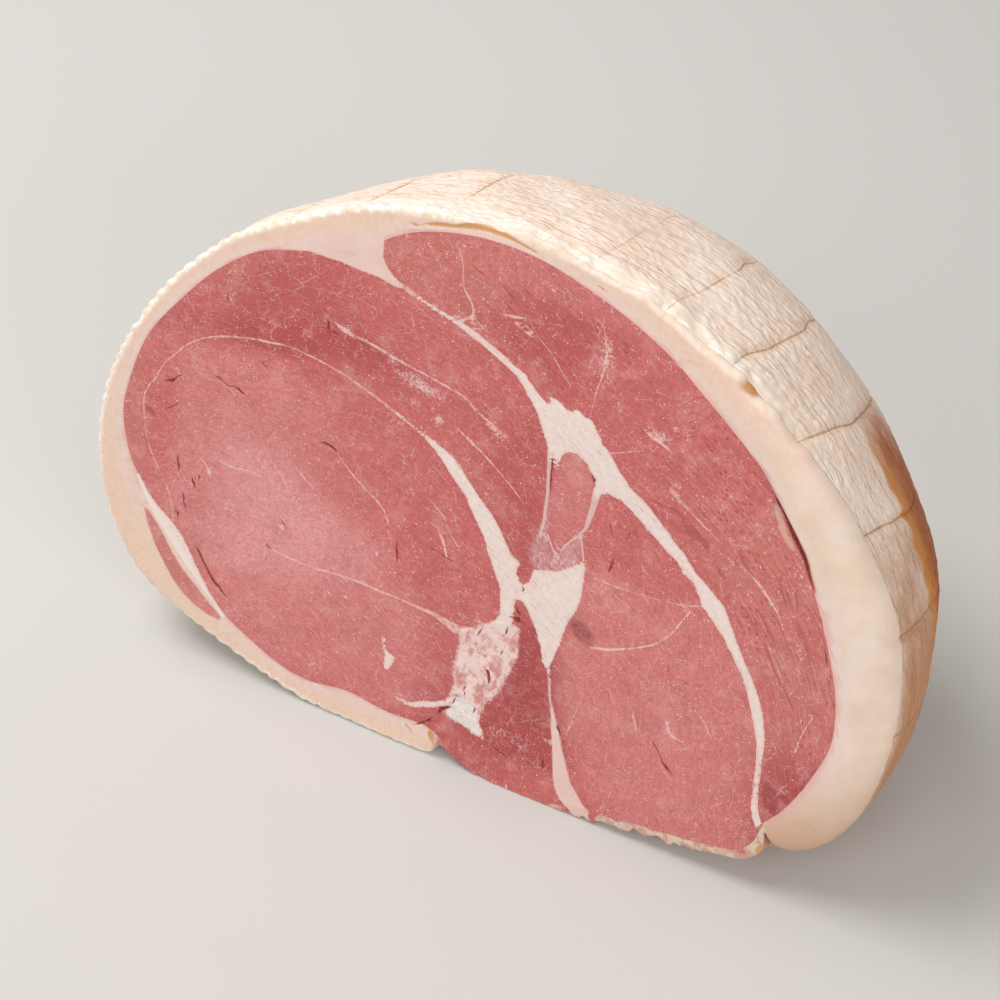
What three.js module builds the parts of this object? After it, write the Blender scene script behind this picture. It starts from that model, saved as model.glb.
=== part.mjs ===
// A ham joint: half of a boned and rolled leg, stood on its belly with the cut face to the front.
// X runs across the cut face, Y goes back into the joint and Z is up, all in millimetres.
import * as THREE from "three";

// The cut face, measured in its own plane: across, and up from the belly edge.
const FACE_WIDTH = 236;
const FACE_HEIGHT = 167.5;
const FACE_LEAN = 16; // degrees back from upright

// The body behind the face is a dome round an axis that drops and turns a little.
const BODY_DEPTH = 95;
const AXIS_DROP = 14;
const AXIS_YAW = 10;
const DOME_POWER = 2.4; // 2 is an ellipse, more is squarer
const SWELL = 0.05; // how far the rind swells behind the face, as a share of the radius
const POLE_ACROSS = -10;
const POLE_UP = 92;

// The belly has settled on the board: what is lower than SAG at SAG_DEPTH goes flat.
const SAG = 9;
const SAG_DEPTH = 34;
const SAG_HEIGHT = 34;

// Marks that the net left in the rind, and the unevenness between them.
const CREASE_DEPTH = 1.7;
const CREASE_HALF = 2.6;
const CREASE_START = 5; // depth at which a mark is fully pressed in
const CREASE_FADE = [0.45, 0.8]; // shares of the depth between which the marks die out
const LUMP = 0.7;
const LUMP_WAVE = [48, 36, 134]; // around, back, and around again where the first is skewed
const SWIRL_WAVE = [88, 68];
const RIM_LUMP = 0.55;
const RIM_LUMP_DEPTH = 9;
const RIM_WAVE = [10.3, 27];

// The strings on the shoulder spread apart as they run back: middle and half width of each
// place along the edge, and how far it drifts over DRIFT_DEPTH.
const DRIFT_FORWARD = [275, 48, 12];
const DRIFT_BACKWARD = [172, 26, -7];
const DRIFT_DEPTH = 50;

// Where the fat has come away from the meat: middle and half width along the edge, and depth.
const SLIT = [291, 15, 2.6];
const CREVICE = [168, 16, 1.2];
const MEAT_STEP = 0.25;

// The meat's own surface, and how the fat's edge turns over towards the rind.
const MEAT_MIDDLE_UP = 0.47; // share of the face's height
const MEAT_RIPPLE = 0.35;
const MEAT_RIPPLE_WAVE = [76, 88];
const MEAT_EDGE_WIDTH = 1.6;
const FAT_PROUD = 0.25;
const FAT_PROUD_SHARE = 0.72; // of the flat part of the band, from the rind
const TURN_BACK = 0.8; // depth of the turned edge as a share of its width
const ROUNDING_STEPS = [90, 62, 34, 0]; // degrees round the turned edge

// Sampling: lengths along the outline between two columns, rings of the dome, rings of the meat.
const COLUMN_STEP = 5.2;
const DOME_RINGS = 16;
const MEAT_RINGS = [0.78, 0.52, 0.26];
const LOOKUPS_PER_ROW = 20;

// The edge of the cut face, from the far left over the top and back along the belly.
// Each row is a point of the outer edge, its partner on the meat's own edge, and how much of
// the band of fat between the two is rounded over towards the rind.
const EDGE = [
  [-118, 61, -107.5, 62, 0.16],
  [-117.4, 74, -110.2, 75, 0.2],
  [-114, 89, -108.2, 88, 0.25],
  [-108, 103, -103, 103, 0.3],
  [-98.5, 119, -93.5, 117, 0.3],
  [-88.5, 131, -82, 130.5, 0.25],
  [-76, 142.5, -69.5, 140, 0.25],
  [-62, 151, -56, 144.5, 0.2],
  [-45, 160, -42, 150, 0.15],
  [-28, 165, -27, 159.5, 0.2],
  [-10, 167.5, -10, 164, 0.3],
  [8, 167.3, 7, 163.8, 0.3],
  [24, 164.8, 21, 160.2, 0.25],
  [39, 161, 34, 155.4, 0.22],
  [52, 155, 45, 149.7, 0.25],
  [64, 148, 55, 142.5, 0.3],
  [75, 139.5, 64, 135.8, 0.4],
  [86, 129, 72.5, 128.5, 0.55],
  [96, 117.5, 80, 118.5, 0.6],
  [104.2, 106, 87.5, 108, 0.62],
  [110.6, 95, 94, 97, 0.64],
  [115.2, 83, 100, 84, 0.66],
  [117.7, 70, 104.8, 70.5, 0.68],
  [118.4, 56, 106.3, 57, 0.7],
  [117.2, 42, 103, 42.5, 0.7],
  [114, 30, 99, 32, 0.7],
  [109.4, 21.3, 97.4, 29, 0.7],
  [103.4, 16.2, 96.4, 27.6, 0.66],
  [98.2, 17.2, 95.6, 26.3, 0.5],
  [95.3, 21.6, 94.6, 25, 0.3],
  [95.8, 15.2, 93.2, 17.5, 0.3],
  [92, 10, 89.5, 12.5, 0.3],
  [84, 7.8, 83, 10.4, 0.3],
  [74, 6.3, 74, 8.6, 0.3],
  [60, 5, 60, 6.9, 0.3],
  [50, 2.6, 50, 4.9, 0.3],
  [40, 1.8, 40, 3.6, 0.3],
  [30, 0.2, 30, 2.2, 0.3],
  [20, 0, 20, 2, 0.3],
  [10, 1.6, 10, 3.6, 0.3],
  [3, 3.8, 3, 5.8, 0.3],
  [-1.4, 5.4, -0.6, 8, 0.3],
  [-4, 1.2, -5.4, 10.2, 0.2],
  [-10, 0.5, -10, 10.2, 0.16],
  [-20, 0.4, -19, 9.6, 0.16],
  [-32, 1, -31.5, 11, 0.16],
  [-45, 1.7, -44.5, 8.9, 0.16],
  [-56, 4.2, -54.5, 10.6, 0.18],
  [-67, 7.4, -65, 15.4, 0.18],
  [-78, 11, -74.6, 21, 0.16],
  [-90, 15.4, -81.8, 28.6, 0.14],
  [-100, 20.4, -88.4, 37.6, 0.12],
  [-107.4, 28, -95, 45, 0.1],
  [-113.2, 38.5, -100.6, 51, 0.1],
  [-116.8, 50, -105, 57.5, 0.13],
];
const FIRST_OF_BELLY = 29; // rows of EDGE where the rind ends and where it begins again
const LAST_OF_BELLY = 41;

// Where each lengthwise string pressed in, measured along the outer edge from its first row.
const CREASES = [12, 36, 60, 84, 108, 132, 156, 181, 196, 217, 237, 261, 290, 320, 350];
const CREASES_BELOW = [575, 600, 624, 648];

const faceLean = THREE.MathUtils.degToRad(FACE_LEAN);
const drop = THREE.MathUtils.degToRad(AXIS_DROP);
const yaw = THREE.MathUtils.degToRad(AXIS_YAW);
const upFace = new THREE.Vector3(0, Math.sin(faceLean), Math.cos(faceLean));
const outOfFace = new THREE.Vector3(0, -Math.cos(faceLean), Math.sin(faceLean));
const axis = new THREE.Vector3(
  Math.sin(yaw),
  Math.cos(yaw) * Math.cos(drop),
  -Math.cos(yaw) * Math.sin(drop),
);

const smooth = (a, b, x) => THREE.MathUtils.smoothstep(x, a, b);
const bell = (x, [middle, half, height]) => height * Math.exp(-(((x - middle) / half) ** 2));
const waves = (x, length) => (x / length) * 2 * Math.PI;

// The edge stretched to the driving width and height.
const xs = EDGE.map((row) => row[0]);
const vs = EDGE.map((row) => row[1]);
const wide = FACE_WIDTH / (Math.max(...xs) - Math.min(...xs));
const high = FACE_HEIGHT / (Math.max(...vs) - Math.min(...vs));
const outerEdge = new THREE.CatmullRomCurve3(
  EDGE.map(([x, v, , , rounding]) => new THREE.Vector3(x * wide, v * high, rounding)),
  true,
  "centripetal",
);
const meatEdge = new THREE.CatmullRomCurve3(
  EDGE.map(([, , x, v]) => new THREE.Vector3(x * wide, v * high, 0)),
  true,
  "centripetal",
);

// Lengths along the outer edge, so that a place on it can be found by millimetres.
const LOOKUPS = EDGE.length * LOOKUPS_PER_ROW;
const lengths = [0];
for (let i = 1; i <= LOOKUPS; i += 1) {
  const a = outerEdge.getPoint((i - 1) / LOOKUPS);
  const b = outerEdge.getPoint((i % LOOKUPS) / LOOKUPS);
  lengths.push(lengths[i - 1] + Math.hypot(b.x - a.x, b.y - a.y));
}
const around = lengths[LOOKUPS];
function edgeParameter(length) {
  const s = ((length % around) + around) % around;
  let i = 1;
  while (lengths[i] < s) i += 1;
  const share = (s - lengths[i - 1]) / (lengths[i] - lengths[i - 1]);
  return (i - 1 + share) / LOOKUPS;
}
const bellyFrom = lengths[FIRST_OF_BELLY * LOOKUPS_PER_ROW];
const bellyTo = lengths[LAST_OF_BELLY * LOOKUPS_PER_ROW];

// Columns: three to each crease, and even ones in between.
const marks = [...CREASES, ...CREASES_BELOW];
const stops = marks.flatMap((s) => [s - CREASE_HALF, s, s + CREASE_HALF]);
stops.push(bellyFrom, bellyTo);
stops.sort((a, b) => a - b);
const columns = [];
stops.forEach((from, i) => {
  const to = i + 1 < stops.length ? stops[i + 1] : stops[0] + around;
  const parts = Math.max(1, Math.round((to - from) / COLUMN_STEP));
  for (let k = 0; k < parts; k += 1) {
    columns.push(from + ((to - from) * k) / parts);
  }
});

function drifted(s, depth) {
  return s + ((bell(s, DRIFT_FORWARD) + bell(s, DRIFT_BACKWARD)) * depth) / DRIFT_DEPTH;
}

function rindRelief(s, depth) {
  const onRind = s < bellyFrom || s > bellyTo ? 1 : 0;
  const nearest = Math.min(...marks.map((m) => Math.abs(m - s)));
  const crease = 1 - smooth(0, CREASE_HALF, nearest);
  const begun = smooth(0, CREASE_START, depth);
  const fade = begun * (1 - smooth(...CREASE_FADE, depth / BODY_DEPTH));
  const skew = waves(s, LUMP_WAVE[2]);
  const wave = Math.sin(waves(s, LUMP_WAVE[0]) + 1.3) * Math.cos(waves(depth, LUMP_WAVE[1]) + skew);
  const swirl = Math.sin(waves(s, SWIRL_WAVE[0]) + waves(depth, SWIRL_WAVE[1]) + 0.4);
  const nearRim = 1 - smooth(0, RIM_LUMP_DEPTH, depth);
  const rim = Math.sin(waves(s, RIM_WAVE[0])) * Math.sin(waves(s, RIM_WAVE[1]) + 1) * nearRim;
  const uneven = LUMP * (0.6 * wave + 0.4 * swirl) * smooth(1, 12, depth);
  return onRind * (uneven + RIM_LUMP * rim - CREASE_DEPTH * crease * fade);
}

// A point of the face plane, standing proud of it by lift.
function facePoint(x, v, lift) {
  return new THREE.Vector3(x, 0, 0).addScaledVector(upFace, v).addScaledVector(outOfFace, lift);
}

// A point of the dome: the outer edge at the length s, carried back along the axis.
function domePoint(s, depth) {
  const edge = outerEdge.getPoint(edgeParameter(drifted(s, depth)));
  const turn = Math.asin(Math.min(1, depth / BODY_DEPTH));
  const shrink = Math.cos(turn) ** (2 / DOME_POWER) * (1 + SWELL * Math.sin(2 * turn));
  const away = new THREE.Vector2(edge.x - POLE_ACROSS, edge.y - POLE_UP);
  away.setLength(away.length() * shrink + rindRelief(s, depth) * Math.min(1, 3 * shrink));
  const point = facePoint(POLE_ACROSS + away.x, POLE_UP + away.y, 0).addScaledVector(axis, depth);
  return settled(point, depth);
}

// Soft meat flattened by its own weight.
function settled(point, depth) {
  const lost = SAG * smooth(0, SAG_DEPTH, depth);
  if (point.z < SAG_HEIGHT) {
    point.z = (SAG_HEIGHT * (point.z - lost)) / (SAG_HEIGHT - lost);
  }
  point.z = Math.max(0, point.z);
  return point;
}

// A point of the band of fat where it turns over towards the rind.
function bandRow(s, step) {
  const t = edgeParameter(s);
  const outer = outerEdge.getPoint(t);
  const inner = meatEdge.getPoint(t);
  const band = Math.hypot(inner.x - outer.x, inner.y - outer.y);
  const radius = band * outer.z;
  const angle = THREE.MathUtils.degToRad(ROUNDING_STEPS[step]);
  const inset = (radius * (1 - Math.sin(angle))) / Math.max(band, 0.1);
  const back = TURN_BACK * radius * (1 - Math.cos(angle));
  const x = outer.x + (inner.x - outer.x) * inset;
  const v = outer.y + (inner.y - outer.y) * inset;
  const point = facePoint(x, v, 0).addScaledVector(axis, back);
  point.z = Math.max(0, point.z);
  return point;
}
function turnedDepth(s) {
  const t = edgeParameter(s);
  const outer = outerEdge.getPoint(t);
  const inner = meatEdge.getPoint(t);
  return TURN_BACK * Math.hypot(inner.x - outer.x, inner.y - outer.y) * outer.z;
}

// The gap between the fat and the meat on the shoulder, and the crevice under the top rim.
function gapAt(s) {
  return bell(s, SLIT) + bell(s, CREVICE) + MEAT_STEP;
}

// Rings from the middle of the meat outwards, over the band of fat and back along the dome.
const rings = [];
const middle = [POLE_ACROSS * wide, MEAT_MIDDLE_UP * FACE_HEIGHT];
for (const share of [...MEAT_RINGS].reverse()) {
  rings.push(
    columns.map((s) => {
      const edge = meatEdge.getPoint(edgeParameter(s));
      const x = middle[0] + (edge.x - middle[0]) * share;
      const v = middle[1] + (edge.y - middle[1]) * share;
      const across = Math.sin(waves(x, MEAT_RIPPLE_WAVE[0]) + 1);
      const ripple = MEAT_RIPPLE * across * Math.cos(waves(v, MEAT_RIPPLE_WAVE[1]));
      return facePoint(x, v, ripple * (1 - share));
    }),
  );
}
rings.push(
  columns.map((s) => {
    const edge = meatEdge.getPoint(edgeParameter(s));
    const toMiddle = new THREE.Vector2(middle[0] - edge.x, middle[1] - edge.y);
    toMiddle.setLength(MEAT_EDGE_WIDTH);
    return facePoint(edge.x + toMiddle.x, edge.y + toMiddle.y, 0);
  }),
);
rings.push(
  columns.map((s) => {
    const edge = meatEdge.getPoint(edgeParameter(s));
    return facePoint(edge.x, edge.y, -gapAt(s));
  }),
);
rings.push(
  columns.map((s) => {
    const t = edgeParameter(s);
    const outer = outerEdge.getPoint(t);
    const inner = meatEdge.getPoint(t);
    const share = outer.z + (1 - outer.z) * FAT_PROUD_SHARE;
    const x = outer.x + (inner.x - outer.x) * share;
    const v = outer.y + (inner.y - outer.y) * share;
    return facePoint(x, v, FAT_PROUD);
  }),
);
for (let step = ROUNDING_STEPS.length - 1; step >= 0; step -= 1) {
  rings.push(columns.map((s) => bandRow(s, step)));
}
for (let k = 1; k < DOME_RINGS; k += 1) {
  const share = Math.sin((k / DOME_RINGS) * (Math.PI / 2));
  rings.push(
    columns.map((s) => {
      const start = turnedDepth(s);
      return domePoint(s, start + (BODY_DEPTH - start) * share);
    }),
  );
}

// One closed skin: the rings joined column by column, and a point at each end.
const positions = rings.flat().flatMap((p) => [p.x, p.y, p.z]);
const faceMiddle = facePoint(middle[0], middle[1], MEAT_RIPPLE);
const pole = facePoint(POLE_ACROSS, POLE_UP, 0).addScaledVector(axis, BODY_DEPTH);
positions.push(faceMiddle.x, faceMiddle.y, faceMiddle.z, pole.x, pole.y, pole.z);
const count = columns.length;
const first = rings.length * count;
const last = first + 1;
const triangles = [];
for (let c = 0; c < count; c += 1) {
  const next = (c + 1) % count;
  triangles.push(first, next, c);
  for (let r = 0; r + 1 < rings.length; r += 1) {
    const a = r * count + c;
    const b = r * count + next;
    triangles.push(a, b, a + count);
    triangles.push(b, b + count, a + count);
  }
  const end = (rings.length - 1) * count;
  triangles.push(end + c, end + next, last);
}

const skin = new THREE.BufferGeometry();
skin.setAttribute("position", new THREE.Float32BufferAttribute(positions, 3));
skin.setIndex(triangles);
skin.computeBoundingBox();
const box = skin.boundingBox;
skin.translate(-(box.min.x + box.max.x) / 2, -(box.min.y + box.max.y) / 2, -box.min.z);
skin.computeVertexNormals();

const ham = new THREE.Mesh(
  skin,
  new THREE.MeshStandardMaterial({ color: 0xc97f7c, roughness: 0.45, metalness: 0 }),
);
ham.name = "ham_joint";
const joint = new THREE.Group();
joint.add(ham);

export default joint;
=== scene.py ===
"""Ham joint: a boned half leg of cured pork, cut face to the front, standing on its belly."""

import math

import bpy
import numpy as np
from bpy.props import FloatProperty, FloatVectorProperty, PointerProperty
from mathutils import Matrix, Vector


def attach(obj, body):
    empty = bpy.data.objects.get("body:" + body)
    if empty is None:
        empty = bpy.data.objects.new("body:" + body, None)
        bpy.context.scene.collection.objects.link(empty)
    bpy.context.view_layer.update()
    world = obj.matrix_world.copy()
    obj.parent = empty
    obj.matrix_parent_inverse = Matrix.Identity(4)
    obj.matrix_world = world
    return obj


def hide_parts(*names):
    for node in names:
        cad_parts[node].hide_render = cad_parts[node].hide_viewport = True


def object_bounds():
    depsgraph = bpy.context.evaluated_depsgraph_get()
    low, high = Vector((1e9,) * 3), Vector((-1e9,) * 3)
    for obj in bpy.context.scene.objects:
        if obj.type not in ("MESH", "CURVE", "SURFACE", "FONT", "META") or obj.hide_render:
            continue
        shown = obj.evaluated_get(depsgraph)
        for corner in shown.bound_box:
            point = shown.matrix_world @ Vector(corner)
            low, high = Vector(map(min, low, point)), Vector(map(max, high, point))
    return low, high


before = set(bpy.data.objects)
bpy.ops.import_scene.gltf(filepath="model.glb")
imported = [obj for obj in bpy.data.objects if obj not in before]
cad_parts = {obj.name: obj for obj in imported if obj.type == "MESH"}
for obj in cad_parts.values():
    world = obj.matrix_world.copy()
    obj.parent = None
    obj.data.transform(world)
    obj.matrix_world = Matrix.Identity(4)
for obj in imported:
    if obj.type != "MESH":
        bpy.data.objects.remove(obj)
CAD_LOW, CAD_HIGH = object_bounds()

bl_info = {
    "name": "Ham joint",
    "version": (1, 0, 0),
    "blender": (4, 5, 0),
    "location": "3D View > Sidebar > Ham joint",
    "description": "Builds a cut ham joint with marbled meat, fat and net-marked rind",
    "category": "Add Mesh",
}

MM = 0.001

# Places in these tables are in millimetres in the plane of the cut face: across it from its
# middle, and up it from the belly edge. Lengths along the outer edge start at its first row.

# Outer edge, its partner on the meat's edge, and the share of the band rounded over.
EDGE = np.array([
    [-118, 61, -107.5, 62, 0.16], [-117.4, 74, -110.2, 75, 0.2], [-114, 89, -108.2, 88, 0.25],
    [-108, 103, -103, 103, 0.3], [-98.5, 119, -93.5, 117, 0.3], [-88.5, 131, -82, 130.5, 0.25],
    [-76, 142.5, -69.5, 140, 0.25], [-62, 151, -56, 144.5, 0.2], [-45, 160, -42, 150, 0.15],
    [-28, 165, -27, 159.5, 0.2], [-10, 167.5, -10, 164, 0.3], [8, 167.3, 7, 163.8, 0.3],
    [24, 164.8, 21, 160.2, 0.25], [39, 161, 34, 155.4, 0.22], [52, 155, 45, 149.7, 0.25],
    [64, 148, 55, 142.5, 0.3], [75, 139.5, 64, 135.8, 0.4], [86, 129, 72.5, 128.5, 0.55],
    [96, 117.5, 80, 118.5, 0.6], [104.2, 106, 87.5, 108, 0.62], [110.6, 95, 94, 97, 0.64],
    [115.2, 83, 100, 84, 0.66], [117.7, 70, 104.8, 70.5, 0.68], [118.4, 56, 106.3, 57, 0.7],
    [117.2, 42, 103, 42.5, 0.7], [114, 30, 99, 32, 0.7], [109.4, 21.3, 97.4, 29, 0.7],
    [103.4, 16.2, 96.4, 27.6, 0.66], [98.2, 17.2, 95.6, 26.3, 0.5], [95.3, 21.6, 94.6, 25, 0.3],
    [95.8, 15.2, 93.2, 17.5, 0.3], [92, 10, 89.5, 12.5, 0.3], [84, 7.8, 83, 10.4, 0.3],
    [74, 6.3, 74, 8.6, 0.3], [60, 5, 60, 6.9, 0.3], [50, 2.6, 50, 4.9, 0.3],
    [40, 1.8, 40, 3.6, 0.3], [30, 0.2, 30, 2.2, 0.3], [20, 0, 20, 2, 0.3],
    [10, 1.6, 10, 3.6, 0.3], [3, 3.8, 3, 5.8, 0.3], [-1.4, 5.4, -0.6, 8, 0.3],
    [-4, 1.2, -5.4, 10.2, 0.2], [-10, 0.5, -10, 10.2, 0.16], [-20, 0.4, -19, 9.6, 0.16],
    [-32, 1, -31.5, 11, 0.16], [-45, 1.7, -44.5, 8.9, 0.16], [-56, 4.2, -54.5, 10.6, 0.18],
    [-67, 7.4, -65, 15.4, 0.18], [-78, 11, -74.6, 21, 0.16], [-90, 15.4, -81.8, 28.6, 0.14],
    [-100, 20.4, -88.4, 37.6, 0.12], [-107.4, 28, -95, 45, 0.1], [-113.2, 38.5, -100.6, 51, 0.1],
    [-116.8, 50, -105, 57.5, 0.13],
])
FIRST_OF_BELLY = 29  # rows where the rind ends and where it begins again
LAST_OF_BELLY = 41
TURN_BACK = 0.8  # depth of the rounded edge as a share of its width
POLE = np.array([-10.0, 92.0])  # where the dome ends, seen on the face
MIDDLE = np.array([-10.0, 78.7])  # where the rings of the face begin
SETTLED = (9.0, 34.0, 34.0)  # sag, the depth it is reached at, the height it fades out at

# Lengths along the outer edge between which the rind is rough at its shoulder, the bare belly
# is ragged, and the rind is golden: where each begins, is full, is full no more, and ends.
SHOULDER = (168, 182, 258, 276)
FRILL = (430, 440, 508, 517)
GOLDEN = (252, 284, 332, 384)
# The strings spread apart as they run back: how far at DRIFT_DEPTH, the middle and its reach.
DRIFTS = ((12, 275, 48), (-7, 172, 26))
DRIFT_DEPTH = 50
SLIT = (1.5, 291, 15)  # where fat has come away from the meat: depth, middle and reach
# How deep the smooth fat at the right reaches over the edge: lengths, and depths there.
BEAD_DEPTHS = ([230, 250, 290, 307, 321, 337, 346, 380, 420], [0.6, 1.2, 1.2, 1.6, 2.4, 4.5, 6.5, 9, 11])

# Places of the net's strings along the outer edge, and how clear each one's mark is.
CREASES = [
    (12, 0.5), (36, 0.5), (60, 0.6), (84, 0.6), (108, 0.6), (132, 0.6), (156, 0.45), (181, 0.2),
    (196, 0.25),
    (217, 0.8), (237, 0.9), (261, 0.95), (290, 1.0), (320, 0.8), (350, 0.6), (575, 0.4), (600, 0.4),
    (624, 0.5), (648, 0.5),
]

# White fat between the muscles.
SEAM_MAIN = [
    (-27.5, 143.4), (-23.8, 141.9), (-20, 140.6), (-15, 139.4), (-10, 137.5), (-5, 135.6),
    (0, 133.1), (5, 130.6), (8.1, 128.1), (9.4, 125.6), (11.3, 123.8), (13.1, 121.3), (15, 117.5),
    (16.3, 115), (17.4, 112.5), (17.8, 109), (18.4, 108), (19, 112.3), (19.9, 108), (20.5, 108.5),
    (21.3, 112.9), (22.6, 114), (25, 114.6), (28.1, 112.9), (30.6, 109.6), (31.2, 107.6),
    (31.3, 103), (32.7, 102.6), (33.1, 105.2), (35, 106.3), (39.4, 105.6), (43.1, 103.1),
    (47.5, 100), (51.9, 96.9), (56.9, 93.8), (58.8, 91.3), (61.9, 90), (64.4, 86.3), (65.6, 83.8),
    (69.4, 80.6), (73.1, 76.9), (76.3, 72.5), (80, 67.5), (81.9, 63.1), (83.8, 58.8), (85.6, 53.8),
    (87.5, 48.8), (88.4, 43.8), (89.1, 38.8), (89.6, 33.8), (90.2, 28.8), (91.3, 24.4), (92.6, 22.5),
    (94.2, 24), (92.5, 27.5), (91.3, 31.9), (90.6, 36.9), (90, 42.5), (89.7, 47.5), (88.8, 52.5),
    (87.5, 57.5), (85.6, 62.5), (83.1, 66.9), (80, 71.9), (76.3, 77.5), (73.8, 81.9), (71.3, 86.3),
    (66.3, 90), (61.9, 93.1), (58.1, 96.9), (53.8, 100.6), (49.4, 104.4), (45.6, 107.5),
    (40.6, 110.6), (36.3, 115), (33.1, 118.8), (31.9, 119.4), (29.4, 123.1), (27.5, 125.6),
    (25.6, 125.6), (23.3, 127.3), (22.6, 125.9), (21.3, 125.6), (18.8, 126.9), (15.4, 128),
    (16, 126), (15, 125.3), (11.3, 128.1), (8.1, 131.3), (3.8, 133.1), (0, 135.3), (-5, 137.5),
    (-10, 139.4), (-15, 140.5), (-20, 141.9), (-27.5, 143.8),
]
SEAM_INNER = [
    (-30, 108.1), (-25, 106.2), (-20, 104.2), (-16.9, 102.6), (-13.8, 100.4), (-11.3, 98),
    (-8.8, 95.4), (-5, 91.8), (-3.1, 90), (-1.3, 86.9), (1.3, 83.1), (3.8, 79.4), (5.6, 75),
    (8.1, 70), (10, 66.3), (10.6, 62.5), (11.3, 57.5), (10, 54.4), (8.1, 52), (14.5, 51),
    (15.2, 57), (15, 62), (15.2, 66.5), (16.9, 69.6), (14.6, 71), (14.2, 74), (15.2, 76.2),
    (14.4, 76.3), (11.9, 77.5), (10, 80.6), (8.1, 83.8), (5, 87.6), (2.5, 90), (0.6, 91.5),
    (-2, 94.2), (-5, 97.3), (-8, 100), (-11, 101.6), (-15, 103.2), (-20, 105), (-25, 107),
    (-30, 108.7),
]
SEAM_VEE = [
    (15.2, 64.5), (15.4, 68.5), (16.5, 70), (18.2, 71), (18.8, 75.6), (21.3, 76.6), (25, 77.5),
    (27.5, 79.4), (30, 81.9), (32.5, 84.6), (32.8, 80), (33.1, 75), (32.8, 70), (31.9, 66.3),
    (30.9, 63.8), (30, 60), (29.4, 54.4), (28.4, 50), (27.5, 45.4), (25.6, 47.5), (24.4, 51.9),
    (22.5, 56.3), (20, 60.6), (17.5, 64.4),
]
STRIP_LEFT = [
    (-104.5, 56, 0.8), (-101, 50.5, 1.2), (-97.5, 46.6, 1.6), (-94, 43.4, 2.3), (-91.5, 40.6, 2.5),
    (-89, 37.6, 2.3), (-86.5, 34.3, 1.9), (-84, 31, 1.5), (-81.5, 28, 1.1), (-79, 25, 0.8),
    (-76, 21.8, 0.7), (-73.5, 19.3, 0.8),
]
STREAK_LOW = [
    (-15, 15.9, 0.3), (-11.3, 15.6, 0.7), (-8.1, 17.2, 1.0), (-4.4, 18.8, 0.9), (-1.3, 20.6, 0.9)
]
BLOT_LOW = [(-21.9, 34.4, 0.5), (-20.9, 30.6, 0.5), (-19.4, 28.8, 1.4), (-20, 25, 0.9)]
BLOT_SIDE = [(-19.4, 28.6, 0.8), (-17.7, 29.6, 0.4)]

# Softer, pinker fat.
POCKET = [
    (-64, 142.6), (-59.5, 145.6), (-54.5, 150), (-49.5, 151.9), (-42, 154), (-38.5, 155.6),
    (-35, 157.4), (-34.8, 153), (-34.7, 150), (-33.2, 147.5), (-30.6, 145.4), (-27.5, 143.6),
    (-30, 142.9), (-35, 144), (-40, 144.1), (-46, 144.6), (-50, 144.5), (-56.4, 144.5),
]
SEAM_LOW = [
    (27.6, 46, 0.5), (28.4, 43, 0.4), (28.8, 40.6, 0.35), (29.4, 37, 0.3), (30.3, 34.4, 0.35),
    (31.3, 31.3, 0.65), (32.2, 28, 1.0), (33.4, 23.5, 1.3), (34.8, 18.5, 1.8), (36.2, 13.6, 2.3),
    (37.6, 9.6, 2.8), (40, 6.2, 3.1), (42.6, 4, 2.3), (45, 3.4, 1.6),
]
SEAM_LOW_TWIG = [(33, 23, 0.5), (31, 22.2, 0.4), (30, 22.8, 0.2)]

# Rough tissue round the place where the bone was, its chalky foot, and the grey film above.
TISSUE = [
    (0, 47), (3, 49), (5.5, 51), (8.1, 52.8), (10, 54.6), (15, 56), (17.5, 55), (17.9, 50),
    (18.1, 45.6), (17.5, 42.5), (16.3, 38.1), (15, 33.8), (13.1, 29.4), (11.3, 26.3), (10.6, 23.8),
    (10, 20), (11.3, 16.3), (12.4, 14), (8.8, 14.4), (5, 16), (1, 16.4), (-0.8, 17.2), (-2.8, 19.4),
    (0, 23.1), (0.9, 28.8), (0, 31.9), (0.3, 36.9), (0.9, 42.5),
]
CHALK = [
    (1.4, 24.2), (4, 25), (8.5, 24.4), (9.4, 20), (11, 16), (12.2, 13.8), (8.5, 14.8), (4.5, 16.2),
    (0.3, 16.6), (0.6, 19.5),
]
FILM_LEFT = [
    (20.2, 96, 0.5), (20, 91, 0.8), (19.6, 87, 1.5), (19.6, 83, 2.4), (20, 79, 2.8), (22, 78, 2.2)
]
FILM_RIGHT = [(30.2, 91, 0.9), (29.3, 88, 1.5), (28.2, 84, 2.2), (26, 80.5, 2.6), (23, 78.6, 2.2)]
FILM_EDGES = [
    [(21, 88, 0.25), (22.2, 85.6, 0.25), (23.6, 83, 0.3)],
    [(26.2, 86.3, 0.25), (25, 83.6, 0.25), (24, 82.6, 0.25)],
    [(31.8, 84.5, 0.3), (30.8, 88, 0.25), (30, 91.5, 0.25)],
]

# A strip of muscle inside the lower left fat.
SIDE_MUSCLE = [
    (-101.6, 46.2), (-100.2, 45.4), (-97, 42), (-94.5, 38.4), (-92, 34.6), (-88.3, 30.2),
    (-83.3, 26), (-78.3, 21.6), (-74.2, 18.6), (-74.4, 17.2), (-78.3, 17.3), (-83.3, 19),
    (-87.6, 21.5), (-91.4, 25.2), (-95.1, 30.5), (-97.6, 34.3), (-99.5, 38.7), (-101.5, 43),
]
RED_DOT = (16.3, 73.0, 2.1, 2.8, 0.0)
GLAND = (35.0, 62.0, 4.3, 2.6, -38.0)

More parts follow.
